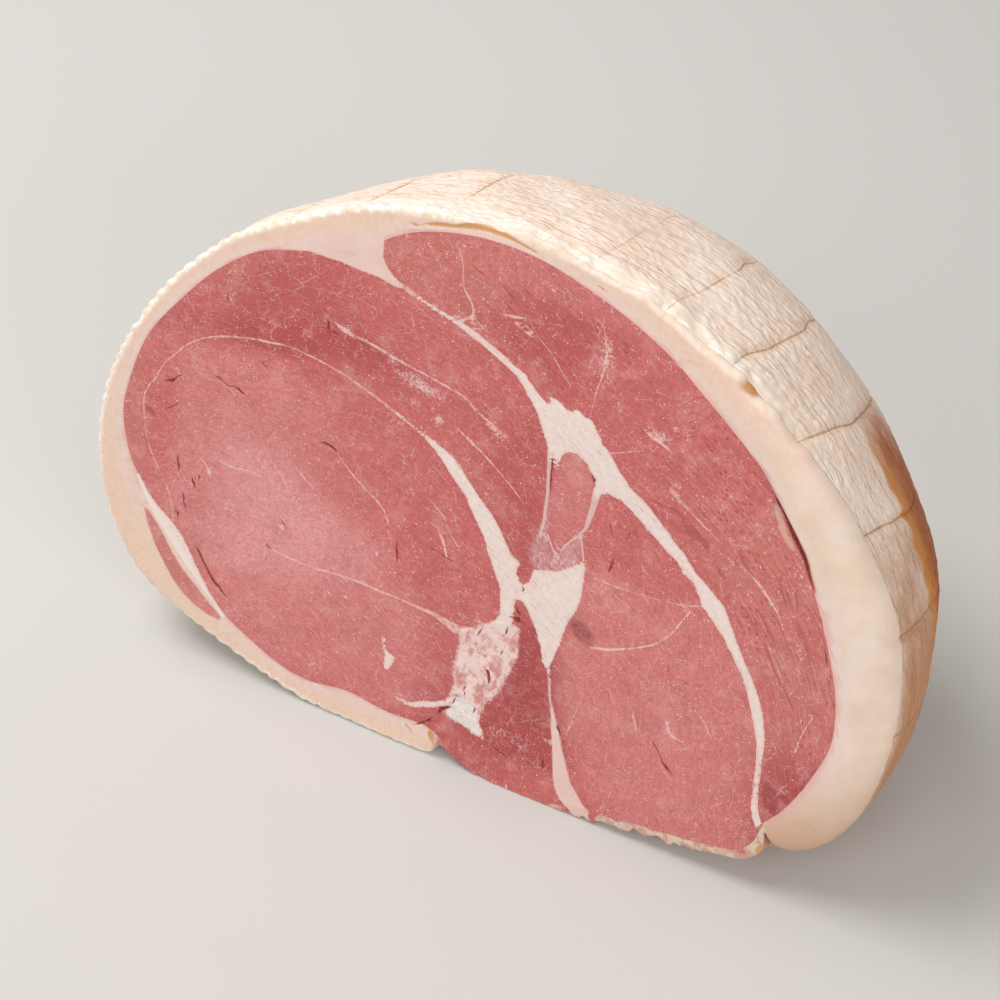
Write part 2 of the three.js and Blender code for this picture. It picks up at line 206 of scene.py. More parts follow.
# Fine white lines, each point with half its width there.
VEINS = [
    [(-31, 144.6, 0.9), (-26, 143.2, 0.65), (-20, 141.4, 0.45), (-15, 140, 0.5), (-10, 138.4, 0.75),
     (-5, 136.5, 0.85), (0, 134.2, 0.95), (4.6, 131.6, 0.9), (9, 128.4, 1.1)],
    [
        (88.2, 52, 1.1), (89, 46, 0.85), (89.7, 40, 0.85), (90.2, 34, 0.9), (90.8, 29, 0.75),
        (92, 25, 0.7), (93.6, 22.6, 0.9),
    ],
    [(-92, 43.8, 0.36), (-92.6, 50, 0.22), (-94.5, 55.6, 0.16), (-96.4, 59.4, 0.14), (-98.9, 63.1, 0.14),
     (-100.8, 66.9, 0.16), (-102, 70.6, 0.16), (-102.9, 75, 0.18), (-103.4, 80, 0.20),
     (-103.2, 83.8, 0.20), (-102, 86.9, 0.20), (-100.4, 89.4, 0.22), (-98.9, 92.5, 0.20),
     (-97, 96.3, 0.18), (-93.9, 100, 0.20), (-90.8, 103.8, 0.20), (-87, 106.9, 0.20),
     (-83.3, 109.1, 0.19), (-78.9, 110.9, 0.28), (-74.5, 112.2, 0.28), (-69.5, 113.4, 0.3),
     (-64.5, 114.1, 0.3), (-59.5, 114.9, 0.25), (-53.3, 114.5, 0.25), (-47, 113.6, 0.28),
     (-42, 112.6, 0.25), (-38, 111.3, 0.3), (-35, 110.3, 0.35), (-30, 108.4, 0.45), (-25, 106.5, 0.5)],
    [(-60.1, 48.8, 0.2), (-53.3, 48.4, 0.25), (-45, 48.5, 0.28), (-40, 49.4, 0.3), (-35, 49.8, 0.33),
     (-30, 50, 0.35), (-25, 49.7, 0.38), (-20, 49.7, 0.35), (-15, 49.4, 0.42), (-10, 49.1, 0.6),
     (-6.3, 48.6, 0.85), (-3.8, 47.8, 1.2), (0, 46.9, 1.7), (3, 47, 2)],
    [(38.8, 58.8, 0.4), (42.5, 59.7, 0.4), (45, 60.9, 0.35), (48.8, 62.8, 0.28), (51.9, 64.7, 0.25),
     (55, 66.9, 0.25), (57.5, 70, 0.22), (59.4, 73.1, 0.24), (60.9, 76.9, 0.22), (62.5, 80.6, 0.15)],
    [(-14.4, 159.4, 0.12), (-12.5, 155, 0.14), (-11.6, 149.4, 0.2), (-8.8, 145.6, 0.24),
     (-8.1, 142.5, 0.42), (-10.6, 140.6, 0.4)],
    [(-8.1, 142.5, 0.35), (-5.6, 140.4, 0.14)],
    [(0.6, 145.9, 0.15), (2.5, 146, 0.4), (5, 146.6, 0.25)],
    [(2.2, 145.6, 0.15), (3.8, 144.4, 0.22), (8.1, 142.2, 0.2)],
    [(-45, 126.3, 0.5), (-42, 125.4, 0.6), (-38.8, 125, 0.35), (-32.5, 124.1, 0.4), (-28.8, 123.1, 0.42),
     (-23.8, 122.2, 0.3), (-18.8, 121.3, 0.28), (-13.8, 120.3, 0.26), (-7.5, 118.8, 0.45),
     (-3.8, 116.3, 0.32), (0, 114.4, 0.2), (5, 112.5, 0.12)],
    [(-8, 109, 0.2), (-4.4, 106.9, 0.3), (0, 104.4, 0.22), (7.5, 99.4, 0.16), (13.1, 94.7, 0.12)],
    [(-41, 86.9, 0.14), (-36.9, 83.1, 0.16), (-32.5, 80, 0.22), (-26.9, 76.3, 0.2), (-24.7, 72.5, 0.18)],
    [(-13.1, 84.4, 0.12), (-8.8, 81.3, 0.2), (-6.6, 77.5, 0.16), (-3.1, 73.1, 0.18)],
    [(-10, 76.9, 0.3), (-8.1, 73.8, 0.4), (-6.3, 69.1, 0.25)],
    [(-85.1, 70.6, 0.2), (-82, 68.1, 0.3), (-81.1, 66.3, 0.4)],
    [(-79.5, 71.9, 0.14), (-74.5, 70.9, 0.28), (-68.3, 71.9, 0.2), (-60.1, 71.3, 0.12)],
    [(-62, 78.1, 0.16), (-57, 73.1, 0.25), (-56, 71, 0.2)],
    [(-52.6, 77.5, 0.2), (-49.5, 75.3, 0.25)],
    [(35, 79.7, 0.12), (44, 79.8, 0.14), (52, 80.6, 0.12), (60, 82, 0.16), (65, 83.7, 0.2)],
    [(51.9, 113.8, 0.7), (55, 111.3, 0.45), (60, 108.1, 0.25), (66, 104.5, 0.12)],
    [(76, 98.5, 0.25), (80, 95.2, 0.4), (84, 91.2, 0.3), (87, 87, 0.15)],
    [(62.8, 44.2, 0.35), (64.5, 40.8, 0.45), (68, 40, 0.2)],
    [(71, 50.5, 0.3), (73, 48.4, 0.22), (75, 45, 0.12)],
    [(46, 47, 0.25), (47.5, 44.2, 0.2)], [(53.4, 42.5, 0.25), (55, 38.5, 0.18)],
    [(36, 27.5, 0.14), (37.5, 36.5, 0.2)],
    [(100, 64, 0.14), (98.5, 58, 0.16), (97.6, 50, 0.12)],
    [(26.6, 151, 0.12), (28, 147, 0.22), (28.6, 141, 0.2), (27.6, 135, 0.16), (27, 127, 0.1)],
    [(42, 127.6, 0.2), (45.4, 126.4, 0.5), (49, 125, 0.2)],
    [
        (-59, 144.5, 0.1), (-50, 151.6, 0.2), (-42, 154.8, 0.3), (-36, 157.3, 0.35), (-30, 159.6, 0.3),
        (-20, 162.6, 0.2),
    ],
    [(6, 145, 0.1), (13, 140.4, 0.12), (20, 133, 0.1)],
    [(33, 117.6, 0.2), (42, 122, 0.1)],
]
# The films round the small muscle in the middle.
FILMS = [
    [
        (17.7, 112, 0.5), (18.4, 107, 0.55), (19.1, 101, 0.45), (19.3, 96, 0.45), (19.4, 91, 0.4),
        (19.0, 87, 0.4),
    ],
    [
        (32.2, 105, 1.1), (31.9, 101, 0.85), (31.4, 97, 0.7), (30.9, 93.8, 0.45), (29.3, 91, 0.3),
        (27.6, 88.5, 0.25), (26.2, 86.3, 0.25),
    ],
]

# Cracks, holes and dark specks.
CRACKS = [
    [(-84.2, 39.6, 0.07), (-80.8, 34.4, 0.31), (-77, 29.4, 0.41), (-72.6, 26.3, 0.08)],
    [(-80.8, 98, 0.1), (-79.6, 97.5, 0.31), (-78.6, 97, 0.08)],
    [(-78.6, 97, 0.05), (-76.5, 96.4, 0.1), (-74.6, 96.9, 0.08)],
    [(-74.6, 97, 0.1), (-73, 96.1, 0.29), (-71.4, 95.6, 0.14)],
    [(-67.6, 107.5, 0.08), (-66, 106.6, 0.18), (-65.1, 105.9, 0.08)],
    [(-47, 89.7, 0.11), (-43.5, 88.9, 0.31), (-42.3, 88, 0.11)],
    [(-48.4, 126, 0.24), (-48.2, 123.6, 0.31)], [(-47.5, 123.9, 0.2), (-45.5, 124, 0.1)],
    [(-86.2, 61.3, 0.41), (-86, 60.6, 0.51)],
    [(-89, 55.5, 0.24), (-88.9, 53.5, 0.2), (-88.2, 51.5, 0.11)],
    [(-91.2, 49.5, 0.15), (-90.6, 48, 0.24)], [(-91.6, 67.5, 0.14), (-91.2, 63.5, 0.24)],
    [(-84.3, 63.5, 0.2), (-84.6, 62.3, 0.1)], [(-61, 49.3, 0.24), (-60.2, 48.8, 0.2)],
    [(-56.9, 59.3, 0.17), (-55.8, 58.6, 0.14)],
    [(-95.8, 81.6, 0.08), (-93.5, 83.6, 0.16), (-92.4, 84.8, 0.07)],
    [(-78.9, 123, 0.2), (-78.5, 121.8, 0.17)],
    [(-96, 90.8, 0.31), (-94.4, 91.2, 0.41), (-93.3, 92.8, 0.17), (-91.5, 94, 0.08)],
    [(59.8, 36.6, 0.08), (62.5, 33.4, 0.14), (64, 30.8, 0.2), (65.6, 29.4, 0.45), (66.9, 28.3, 0.2)],
    [(39.2, 83.8, 0.2), (39.7, 87.2, 0.18)], [(33, 28.3, 0.34), (33.6, 27.2, 0.41)],
    [(35.3, 24.5, 0.14), (35.7, 23.6, 0.1)],
    [(15.6, 12.5, 0.11), (18, 11.8, 0.24), (20, 10.9, 0.11)], [(30.6, 15.5, 0.2), (30.7, 12.3, 0.31)],
    [(-8.6, 9.4, 0.2), (-6.6, 11, 0.34), (-5.0, 12.6, 0.34), (-4.4, 13.7, 0.17)],
    [(-2.4, 16.6, 0.27), (-1.6, 18.4, 0.54), (0.4, 19.9, 0.27)],
    [(9.7, 37.3, 0.2), (10.7, 35.6, 0.41), (11, 33.4, 0.24)],
    [(4.4, 28.9, 0.24), (4.4, 28.5, 0.2)], [(4.4, 27, 0.2), (4.6, 26.6, 0.24)],
    [(2.4, 25, 0.2), (2.8, 25, 0.14)],
    [(1.8, 23.4, 0.14), (1.5, 22, 0.2)], [(13.9, 53.4, 0.17), (13.6, 51.4, 0.17)],
    [(13.4, 45.4, 0.2), (13.3, 44.5, 0.17)],
    [(8.3, 23.2, 0.17), (8.0, 21.6, 0.14)], [(15.4, 57.6, 0.48), (17.2, 57.4, 0.54)],
    [(16, 61, 0.24), (16.5, 59.6, 0.34)],
    [(16.7, 69, 0.17), (17, 68.2, 0.24)], [(5.6, 47.4, 0.1), (6.6, 50, 0.12)],
    [(18.9, 110.4, 0.08), (19.1, 107, 0.22), (19.5, 103, 0.24), (19.8, 101, 0.08)],
    [(30.3, 109.8, 0.14), (31, 108, 0.27)],
    [(-20.6, 61, 0.07), (-21.4, 66.6, 0.17)],
    [(-12, 69.8, 0.1), (-9, 69.6, 0.1), (-6, 68.6, 0.2), (-4.4, 68.4, 0.1)],
    [(77.5, 121.4, 0.13), (80.6, 117.7, 0.46), (83.3, 114, 0.67), (85.8, 110.9, 0.82), (88.1, 107.7, 0.77),
     (89.6, 104.6, 0.46), (91, 102, 0.24), (92.6, 100, 0.13)],
    [(98.4, 85, 0.1), (99.2, 83.4, 0.2), (99.8, 81, 0.14)], [(95.2, 93.6, 0.1), (96, 92.4, 0.17)],
]
# Darker, bloody marks that are not open.
STAINS = [
    [(33.1, 148.2, 0.8), (33.4, 147.4, 0.8)], [(57.4, 105, 1.1), (60, 103.6, 1.2)],
    [(52.6, 109.2, 0.3), (55.8, 107.4, 0.4)],
    [(47, 109, 0.3), (50.5, 108.6, 0.4)], [(62.2, 102.6, 0.9), (63.2, 101.6, 0.8)],
    [(-102, 79.4, 0.8), (-100.6, 78.6, 1.0)],
    [(83.1, 80.6, 0.18), (88.1, 72.5, 0.34), (92.5, 66.9, 0.24), (95, 63, 0.1)],
    [(83.6, 98.4, 0.24), (86.4, 93.6, 0.12)],
    [(87.9, 97.8, 0.26), (89.4, 94.2, 0.16)], [(80, 89, 0.16), (84, 84, 0.22), (86, 81, 0.1)],
    [(71, 104, 0.14), (76, 98.6, 0.3)],
    [(90, 90, 0.14), (93.4, 84.6, 0.24), (95.6, 80, 0.1)], [(67.6, 96.4, 0.5), (69.4, 94.8, 0.4)],
    [(93.4, 36, 1.6), (95.4, 31.6, 1.7)],
    [(-0.8, 153.2, 0.24), (2.6, 150.6, 0.16)], [(5, 154.2, 0.34), (5.8, 153.8, 0.2)],
    [(0.6, 148.8, 0.3), (3, 147, 0.16)],
    [(13.2, 136.8, 0.5), (13.7, 136.2, 0.3)], [(-9, 155.6, 0.16), (-6.6, 154.6, 0.16)],
    [(43, 98.6, 0.16), (42.2, 95, 0.2)],
    [(60, 62, 0.16), (60.4, 60.4, 0.2)], [(64.4, 59.2, 0.16), (66, 58.8, 0.2)],
    [(102, 39.6, 0.4), (104, 48, 0.3)],
    [(44, 99, 0.12), (45, 97, 0.2)], [(37, 98, 0.2), (38, 95.4, 0.2)],
]
GAP_FLAP = [(77.8, 120, 0.15), (79.8, 116.5, 0.6), (82, 112.8, 0.7), (84.6, 110, 0.25)]
CREVICE = [
    (-23.4, 163, 0.35), (-20, 164, 0.55), (-16, 164.8, 0.45), (-12.6, 166, 0.75), (-8, 166.8, 0.8),
    (-3, 166.7, 0.6), (1, 166.2, 0.4), (6, 165.2, 0.22),
]
OCHRE_SPOTS = [
    [(79.6, 119.8, 0.2), (84, 114.1, 0.8), (87.6, 109.2, 0.9), (90.4, 104.2, 0.6), (92.6, 100.6, 0.2)],
    [(-27.2, 161.7, 0.3), (-26, 161.8, 0.35)], [(24, 161.6, 0.35), (25, 161.4, 0.25)],
    [(-3.8, 8, 1.1), (-3.2, 6.4, 0.8)], [(-11.2, 7.4, 0.35), (-10.6, 7, 0.3)],
    [(95.6, 16.5, 1.0), (95.2, 14.8, 1.2)],
]
DIMPLE = (65.4, 147.8, 3.4, 1.25, -12.0)

# Pale clouds in the meat: across, up, two radii, turn in degrees, strength.
CLOUDS = [
    (-20, 117.8, 9, 2.6, -12, 0.6), (-21.5, 111.6, 3.4, 1.2, -10, 0.5),
    (-13.8, 109.4, 1.7, 1.5, 0, 0.75),
    (2, 112.6, 3.6, 1.4, -26, 0.6), (-4, 106.8, 3.4, 1.0, -26, 0.5), (8, 107.5, 6, 3, -30, 0.3),
    (28.3, 145, 2.4, 8, 4, 0.42), (45.6, 127.6, 4.2, 2.2, -14, 0.55), (49.4, 131.3, 0.8, 0.8, 0, 0.8),
    (53, 112.6, 3.2, 1.5, -35, 0.5), (-43, 126, 2.4, 1.3, -20, 0.6), (-29, 122.6, 1.6, 1.5, 0, 0.5),
    (16, 19, 7, 3.4, 5, 0.32), (25, 17, 5, 4, 0, 0.28), (92.4, 81.6, 1.6, 4.4, 18, 0.45),
    (-57, 57.6, 0.9, 1.5, 0, 0.75), (-81.2, 66.4, 1.1, 0.9, 0, 0.6), (0, 52, 2.4, 1.4, 0, 0.4),
    (6, 51.6, 2.6, 1.8, -40, 0.5), (20, 34, 1.2, 3.6, -6, 0.3), (62, 22, 12, 4, 0, 0.16),
    (30, 140, 6, 10, 0, 0.14),
    (76, 99, 6, 2, -45, 0.25), (-92, 104, 4, 7, -40, 0.15),
]

# The line that the grain of the meat follows.
GRAIN_LINE = [
    (-190, 100), (-120, 134), (-64, 144), (-28, 143), (0, 134), (20, 121), (45, 104), (66, 88),
    (80, 70), (88, 50), (92, 25), (93, 5),
]

# Shades of lean meat, and where each lies: across, up, two radii, turn in degrees, shade. The pale shade
# in the middle of the left muscle also holds a painted sheen.
PALE_WITH_SHEEN, ROSE, MID, DEEP, RED, WARM = "d9928f", "cc7875", "c36563", "b85856", "ab4847", "c47069"
TONES = [
    (-62, 60, 24, 18, 0, PALE_WITH_SHEEN), (-84, 66, 9, 18, 10, ROSE), (-64, 93, 30, 9, -10, ROSE),
    (-34, 84, 14, 16, -40, MID), (-12, 74, 11, 18, 20, MID), (-28, 36, 26, 12, 0, ROSE),
    (-4, 34, 6, 12, 0, DEEP), (-54, 26, 22, 9, 0, ROSE), (-98, 76, 5, 20, 0, MID),
    (-107, 84, 3, 20, 0, WARM), (-86, 118, 12, 10, 45, MID), (-62, 129, 24, 9, 20, DEEP),
    (-66, 117, 26, 3.5, 12, RED), (-40, 120, 14, 4, -12, RED), (-78, 132, 10, 3.5, 38, WARM),
    (-38, 138, 24, 5, 0, MID), (-14, 128, 20, 8, -20, MID), (-22, 113, 24, 5, -15, MID),
    (8, 104, 10, 14, 15, DEEP), (0, 97, 12, 3, -42, WARM), (14, 84, 5, 8, 0, DEEP),
    (-16, 152, 18, 9, 10, WARM), (10, 158, 20, 4, -8, ROSE), (16, 145, 16, 11, -20, DEEP),
    (42, 140, 16, 9, -35, MID), (38, 126, 16, 8, -30, MID), (60, 120, 14, 12, -40, MID),
    (74, 104, 14, 9, -48, WARM), (46, 108, 8, 4, -40, MID), (91, 88, 8, 16, 20, WARM),
    (94, 62, 8, 20, 0, WARM), (95, 34, 7, 14, 0, "a03c3c"), (26, 102, 5, 14, 0, ROSE),
    (46, 90, 14, 9, -20, MID), (48, 70, 14, 12, 10, ROSE), (62, 60, 16, 14, -45, ROSE),
    (44, 44, 12, 14, 0, ROSE), (70, 32, 18, 18, -40, ROSE), (85, 30, 7, 18, 0, WARM),
    (24, 36, 7, 15, 0, "a54343"), (20, 20, 11, 9, 0, RED), (10, 8, 14, 4, 0, DEEP),
    (30, 6, 12, 4, 0, MID), (-90, 34, 8, 8, 0, WARM),
]


def catmull(points, t, closed=True):
    """Points on the centripetal Catmull-Rom curve through points, at the parameters t in 0..1."""
    points = np.asarray(points, float)
    n = len(points)
    spans = n if closed else n - 1
    p = np.clip(t, 0, 1 - 1e-12) * spans if not closed else (np.asarray(t) % 1.0) * n
    i = np.floor(p).astype(int)
    w = (p - i)[..., None]

    def at(k):
        if closed:
            return points[(i + k) % n]
        j = i + k
        inside = points[np.clip(j, 0, n - 1)]
        before = 2 * points[0] - points[1]
        after = 2 * points[-1] - points[-2]
        inside = np.where((j < 0)[..., None], before, inside)
        return np.where((j > n - 1)[..., None], after, inside)

    x0, x1, x2, x3 = at(-1), at(0), at(1), at(2)
    d0, d1, d2 = (
        np.maximum((((b - a) ** 2).sum(-1, keepdims=True)) ** 0.25, 1e-4)
        for a, b in ((x0, x1), (x1, x2), (x2, x3))
    )
    t1 = ((x1 - x0) / d0 - (x2 - x0) / (d0 + d1) + (x2 - x1) / d1) * d1
    t2 = ((x2 - x1) / d1 - (x3 - x1) / (d1 + d2) + (x3 - x2) / d2) * d1
    c2 = -3 * x1 + 3 * x2 - 2 * t1 - t2
    c3 = 2 * x1 - 2 * x2 + t1 + t2
    return x1 + t1 * w + c2 * w**2 + c3 * w**3


def smooth(a, b, x):
    """The smooth step from 0 at a to 1 at b."""
    u = np.clip((x - a) / (b - a), 0, 1)
    return u * u * (3 - 2 * u)


def between(a, b, c, d, x):
    """1 from b to c, with smooth steps up from a and down to d."""
    return smooth(a, b, x) * (1 - smooth(c, d, x))


def bell(x, middle, reach):
    """1 at the middle, falling to 0.37 at the reach on both sides."""
    return np.exp(-(((x - middle) / reach) ** 2))


def lattice(x, y, seed):
    """Smooth noise in -1..1 with features about one unit across, the same for the same seed."""
    table = np.random.default_rng(seed).uniform(-1, 1, (64, 64))
    xi, yi = np.floor(x).astype(int), np.floor(y).astype(int)
    u, v = x - xi, y - yi
    u, v = u * u * (3 - 2 * u), v * v * (3 - 2 * v)

    def pick(a, b):
        return table[(xi + a) % 64, (yi + b) % 64]

    low = pick(0, 0) * (1 - u) + pick(1, 0) * u
    high = pick(0, 1) * (1 - u) + pick(1, 1) * u
    return low * (1 - v) + high * v


def cloudy(x, y, seed):
    """Three octaves of lattice noise."""
    middle = 0.5 * lattice(2.1 * x, 2.1 * y, seed + 1)
    small = 0.25 * lattice(4.3 * x, 4.3 * y, seed + 2)
    return (lattice(x, y, seed) + middle + small) / 1.4


def near(p, low, high, margin):
    """Indices of the points within margin of the box low..high."""
    return np.nonzero(((p > np.asarray(low) - margin) & (p < np.asarray(high) + margin)).all(1))[0]


def refined(stroke):
    """Points of the smooth curve through a stroke's own, five to each span."""
    spans = len(stroke) - 1
    return catmull(stroke, np.linspace(0, 1, spans * 5 + 1), closed=False) if spans > 1 else stroke


def line_field(p, strokes, far=3.0, taper=0.0):
    """For the stroke that each point is deepest in: signed distance, half width and depth, in mm.

    With a taper, each stroke runs on for that length past its ends and narrows to nothing.
    """
    field = np.empty((len(p), 3))
    field[:] = far, 0.3, -far
    for stroke in strokes:
        stroke = np.asarray(stroke, float)
        if taper:
            tips = []
            for end, inner in ((stroke[0], stroke[1]), (stroke[-1], stroke[-2])):
                tips.append(end + taper * (end - inner) / np.hypot(*(end - inner)[:2]))
                tips[-1][2] = -0.35
            stroke = np.vstack([tips[0], stroke, tips[1]])
        fine = refined(stroke)
        pick = near(p, fine[:, :2].min(0), fine[:, :2].max(0), far)
        q = p[pick]
        best = field[pick]
        for a, b in zip(fine[:-1], fine[1:]):
            along = b[:2] - a[:2]
            t = np.clip(((q - a[:2]) @ along) / max(along @ along, 1e-9), 0, 1)
            off = q - a[:2] - t[:, None] * along
            gap = np.hypot(*off.T)
            half = a[2] + (b[2] - a[2]) * t
            side = np.sign(along[0] * off[:, 1] - along[1] * off[:, 0])
            better = half - gap > best[:, 2]
            best[better] = np.stack([side * gap, half, half - gap], 1)[better]
        field[pick] = best
    return field


def stroke_depth(p, *strokes):
    """How deep each point lies inside the strokes, whose half width varies, in mm."""
    return line_field(p, strokes, far=4.0)[:, 2]


def polygon_depth(p, corners, far=6.0):
    """How deep each point lies inside a polygon, in mm, negative outside and at least -far."""
    corners = np.asarray(corners, float)
    out = np.full(len(p), -far)
    pick = near(p, corners.min(0), corners.max(0), far)
    if not len(pick):
        return out
    q = p[pick]
    gap = np.full(len(q), np.inf)
    inside = np.zeros(len(q), bool)
    for a, b in zip(corners, np.roll(corners, -1, 0)):
        along = b - a
        t = np.clip(((q - a) @ along) / max(along @ along, 1e-9), 0, 1)
        gap = np.minimum(gap, np.hypot(*(q - a - t[:, None] * along).T))
        crosses = (a[1] > q[:, 1]) != (b[1] > q[:, 1])
        rise = along[1] if abs(along[1]) > 1e-9 else 1e-9
        inside ^= crosses & (q[:, 0] < a[0] + along[0] * (q[:, 1] - a[1]) / rise)
    out[pick] = np.where(inside, np.minimum(gap, far), -np.minimum(gap, far))
    return out


def ellipse_at(p, spot):
    """1 at the middle of an ellipse (across, up, two radii, turn), falling to 0.37 on its rim."""
    x, v, rx, ry, turn = spot[:5]
    c, s = math.cos(math.radians(turn)), math.sin(math.radians(turn))
    dx, dv = p[:, 0] - x, p[:, 1] - v
    return np.exp(-(((dx * c + dv * s) / rx) ** 2) - ((-dx * s + dv * c) / ry) ** 2)


def srgb(hexa):
    """Linear colour of an sRGB hex string."""
    c = [int(hexa[i : i + 2], 16) / 255 for i in (0, 2, 4)]
    return tuple(u / 12.92 if u <= 0.04045 else ((u + 0.055) / 1.055) ** 2.4 for u in c)


def rgba(hexa):
    """The same with full opacity."""
    return (*srgb(hexa), 1.0)


class Body:
    """The joint's form: the outer edge by length, the dome behind it, and the rounded band."""

    def __init__(self, shape):
        self.depth = shape.body_depth / MM
        self.power = shape.dome_power
        self.swell = shape.swell
        self.crease_depth = shape.crease_depth / MM
        lean, drop, yaw = shape.face_lean, shape.axis_drop, shape.axis_yaw
        self.up = np.array([0, math.sin(lean), math.cos(lean)])
        self.out = np.array([0, -math.cos(lean), math.sin(lean)])
        self.axis = np.array(
            [math.sin(yaw), math.cos(yaw) * math.cos(drop), -math.cos(yaw) * math.sin(drop)]
        )
        wide = shape.face_width / MM / np.ptp(EDGE[:, 0])
        high = shape.face_height / MM / np.ptp(EDGE[:, 1])
        self.outer_points = EDGE[:, [0, 1, 4]] * [wide, high, 1]
        self.inner_points = np.c_[EDGE[:, 2] * wide, EDGE[:, 3] * high, np.zeros(len(EDGE))]
        self.t = np.linspace(0, 1, len(EDGE) * 40 + 1)
        fine = catmull(self.outer_points, self.t)
        steps = np.hypot(*np.diff(fine[:, :2], axis=0).T)
        self.lengths = np.r_[0, np.cumsum(steps)]
        self.around = self.lengths[-1]
        self.belly_from = self.lengths[FIRST_OF_BELLY * 40]
        self.belly_to = self.lengths[LAST_OF_BELLY * 40]
        self.marks, self.clear = np.array(CREASES, float).T

    def at(self, s):
        """(outer point, inner point, rounding) at the lengths s."""
        t = np.interp(s % self.around, self.lengths, self.t)
        outer = catmull(self.outer_points, t)
        inner = catmull(self.inner_points, t)
        return outer[..., :2], inner[..., :2], outer[..., 2]

    def on_face(self, p, lift):
        """Points in space for places on the face, lifted out of it."""
        lift = np.asarray(lift)[..., None]
        flat = np.stack([p[..., 0], np.zeros(p.shape[:-1]), np.zeros(p.shape[:-1])], -1)
        return flat + p[..., 1:2] * self.up + lift * self.out

    def rind_share(self, s, depth=0.0):
        """1 on the rind and 0 on the bare belly, which ends under the joint, with a soft change."""
        before = 1 - smooth(self.belly_from - 4, self.belly_from + 1, s % self.around)
        sides = np.maximum(before, smooth(self.belly_to - 1, self.belly_to + 3, s % self.around))
        return np.maximum(sides, smooth(36, 52, depth + 0.02 * np.abs(s % self.around - 465)))

    def nearest_string(self, s, depth):
        """Signed distance to the nearest string, which wanders a little, and how clear its mark is."""
        wander = 0.9 * lattice(depth * 0.11, s * 0.03, 5)
        away = (s % self.around + wander)[..., None] - self.marks
        nearest = np.abs(away).argmin(-1)
        return np.take_along_axis(away, nearest[..., None], -1)[..., 0], self.clear[nearest]

    def string_mark(self, s, depth):
        """Signed distance to the nearest string's mark, and how strongly it shows there."""
        side, clear = self.nearest_string(s, depth)
        fade = smooth(0.3, 4, depth) * (1 - smooth(0.5, 0.85, depth / self.depth))
        uneven = np.clip(0.85 + 0.8 * lattice(s * 0.045, depth * 0.16, 9), 0.35, 1)
        return side, fade * uneven * clear * (np.abs(side) < 4)

    def relief(self, s, depth):
        """How far the rind stands out, in mm, blended where the length round the edge starts again."""
        s = s % self.around
        share = smooth(self.around - 26, self.around, s)
        return self.relief_at(s, depth) * (1 - share) + self.relief_at(s - self.around, depth) * share

    def relief_at(self, s, depth):
        """The same without the blend: marks of the net, rough shoulder, wrinkles, bare belly."""
        side, clear = self.nearest_string(s, depth)
        gap = np.abs(side)
        fade = smooth(0.3, 4, depth) * (1 - smooth(0.45, 0.8, depth / self.depth))
        uneven = clear * np.clip(0.6 + 0.7 * lattice(s * 0.045, depth * 0.14, 9), 0.05, 1.2)
        crease = bell(gap, 0, 0.9) * uneven
        lip = bell(gap, 2.4, 1.5) * uneven
        wave = np.sin(s * 0.131 + 1.3) * np.cos(depth * 0.173 + s * 0.047)
        swirl = np.sin(s * 0.071 + depth * 0.093 + 0.4)
        broad = 0.7 * (0.6 * wave + 0.4 * swirl) * smooth(1, 12, depth)
        knobs = np.abs(lattice(s * 0.34, depth * 0.34, 22))
        lumps = 0.9 * lattice(s * 0.17, depth * 0.16, 21) + 0.75 * knobs
        lumps = between(*SHOULDER, s) * (1 - smooth(3, 11, depth)) * lumps
        left = 1 - smooth(150, 172, s) + smooth(519, 530, s)
        teeth = 0.95 * np.abs(np.sin(s * math.pi / 4.7 + lattice(s * 0.2, 0 * s, 31)))
        teeth = left * (1 - smooth(1.2, 5.5, depth)) * teeth
        # Wrinkles run round the joint, bend where the strings press, and fade to the back.
        bend = 1.6 * lattice(s * 0.05, depth * 0.06, 43) + 1.1 * bell(gap, 0, 3.0)
        wrinkles = 0.0
        for pitch, size, seed in ((2.9, 0.1, 45), (1.9, 0.05, 47)):
            place = (depth + bend + 0.9 * lattice(s * 0.09, depth * 0.3, seed)) / pitch
            ridge = 1 - np.abs(np.sin(math.pi * place)) ** 0.7
            strength = np.clip(0.5 + lattice(s * 0.12, depth * 0.35, seed + 1), 0, 1.3)
            wrinkles = wrinkles - size * ridge * strength
        wrinkles = wrinkles * smooth(0.8, 4, depth) * (1 - 0.6 * smooth(40, 75, depth))
        pebble = 0.16 * lattice(s * 0.36, depth * 0.42, 49) + 0.1 * lattice(s * 0.7, depth * 0.9, 50)
        pebble = pebble * smooth(1, 4, depth)
        net = (0.22 * lip - self.crease_depth * crease) * fade
        rind = broad + net + lumps + teeth + wrinkles + pebble
        tatters = np.abs(lattice(s * 0.75, depth * 0.6, 54))
        frill = np.abs(lattice(s * 0.3, depth * 0.3, 53)) + 0.6 * tatters
        frill = frill * between(*FRILL, s)
        meat = 0.5 * cloudy(s * 0.12, depth * 0.12, 51) * smooth(0, 4, depth)
        meat = meat + 2.0 * frill * (1 - smooth(3, 9, depth))
        share = self.rind_share(s, depth)
        return rind * share + meat * (1 - share)

    def dome(self, s, depth):
        """Points of the skin behind the face."""
        spread = sum(size * bell(s, middle, reach) for size, middle, reach in DRIFTS)
        outer, _, _ = self.at(s + spread * depth / DRIFT_DEPTH)
        turn = np.arcsin(np.clip(depth / self.depth, 0, 1))
        shrink = np.cos(turn) ** (2 / self.power) * (1 + self.swell * np.sin(2 * turn))
        away = outer - POLE
        length = np.hypot(away[..., 0], away[..., 1])
        want = length * shrink + self.relief(s, depth) * np.minimum(1, 3 * shrink)
        p = self.on_face(POLE + away * (want / length)[..., None], np.zeros(s.shape))
        p = p + depth[..., None] * self.axis
        return self.settle(p, depth)

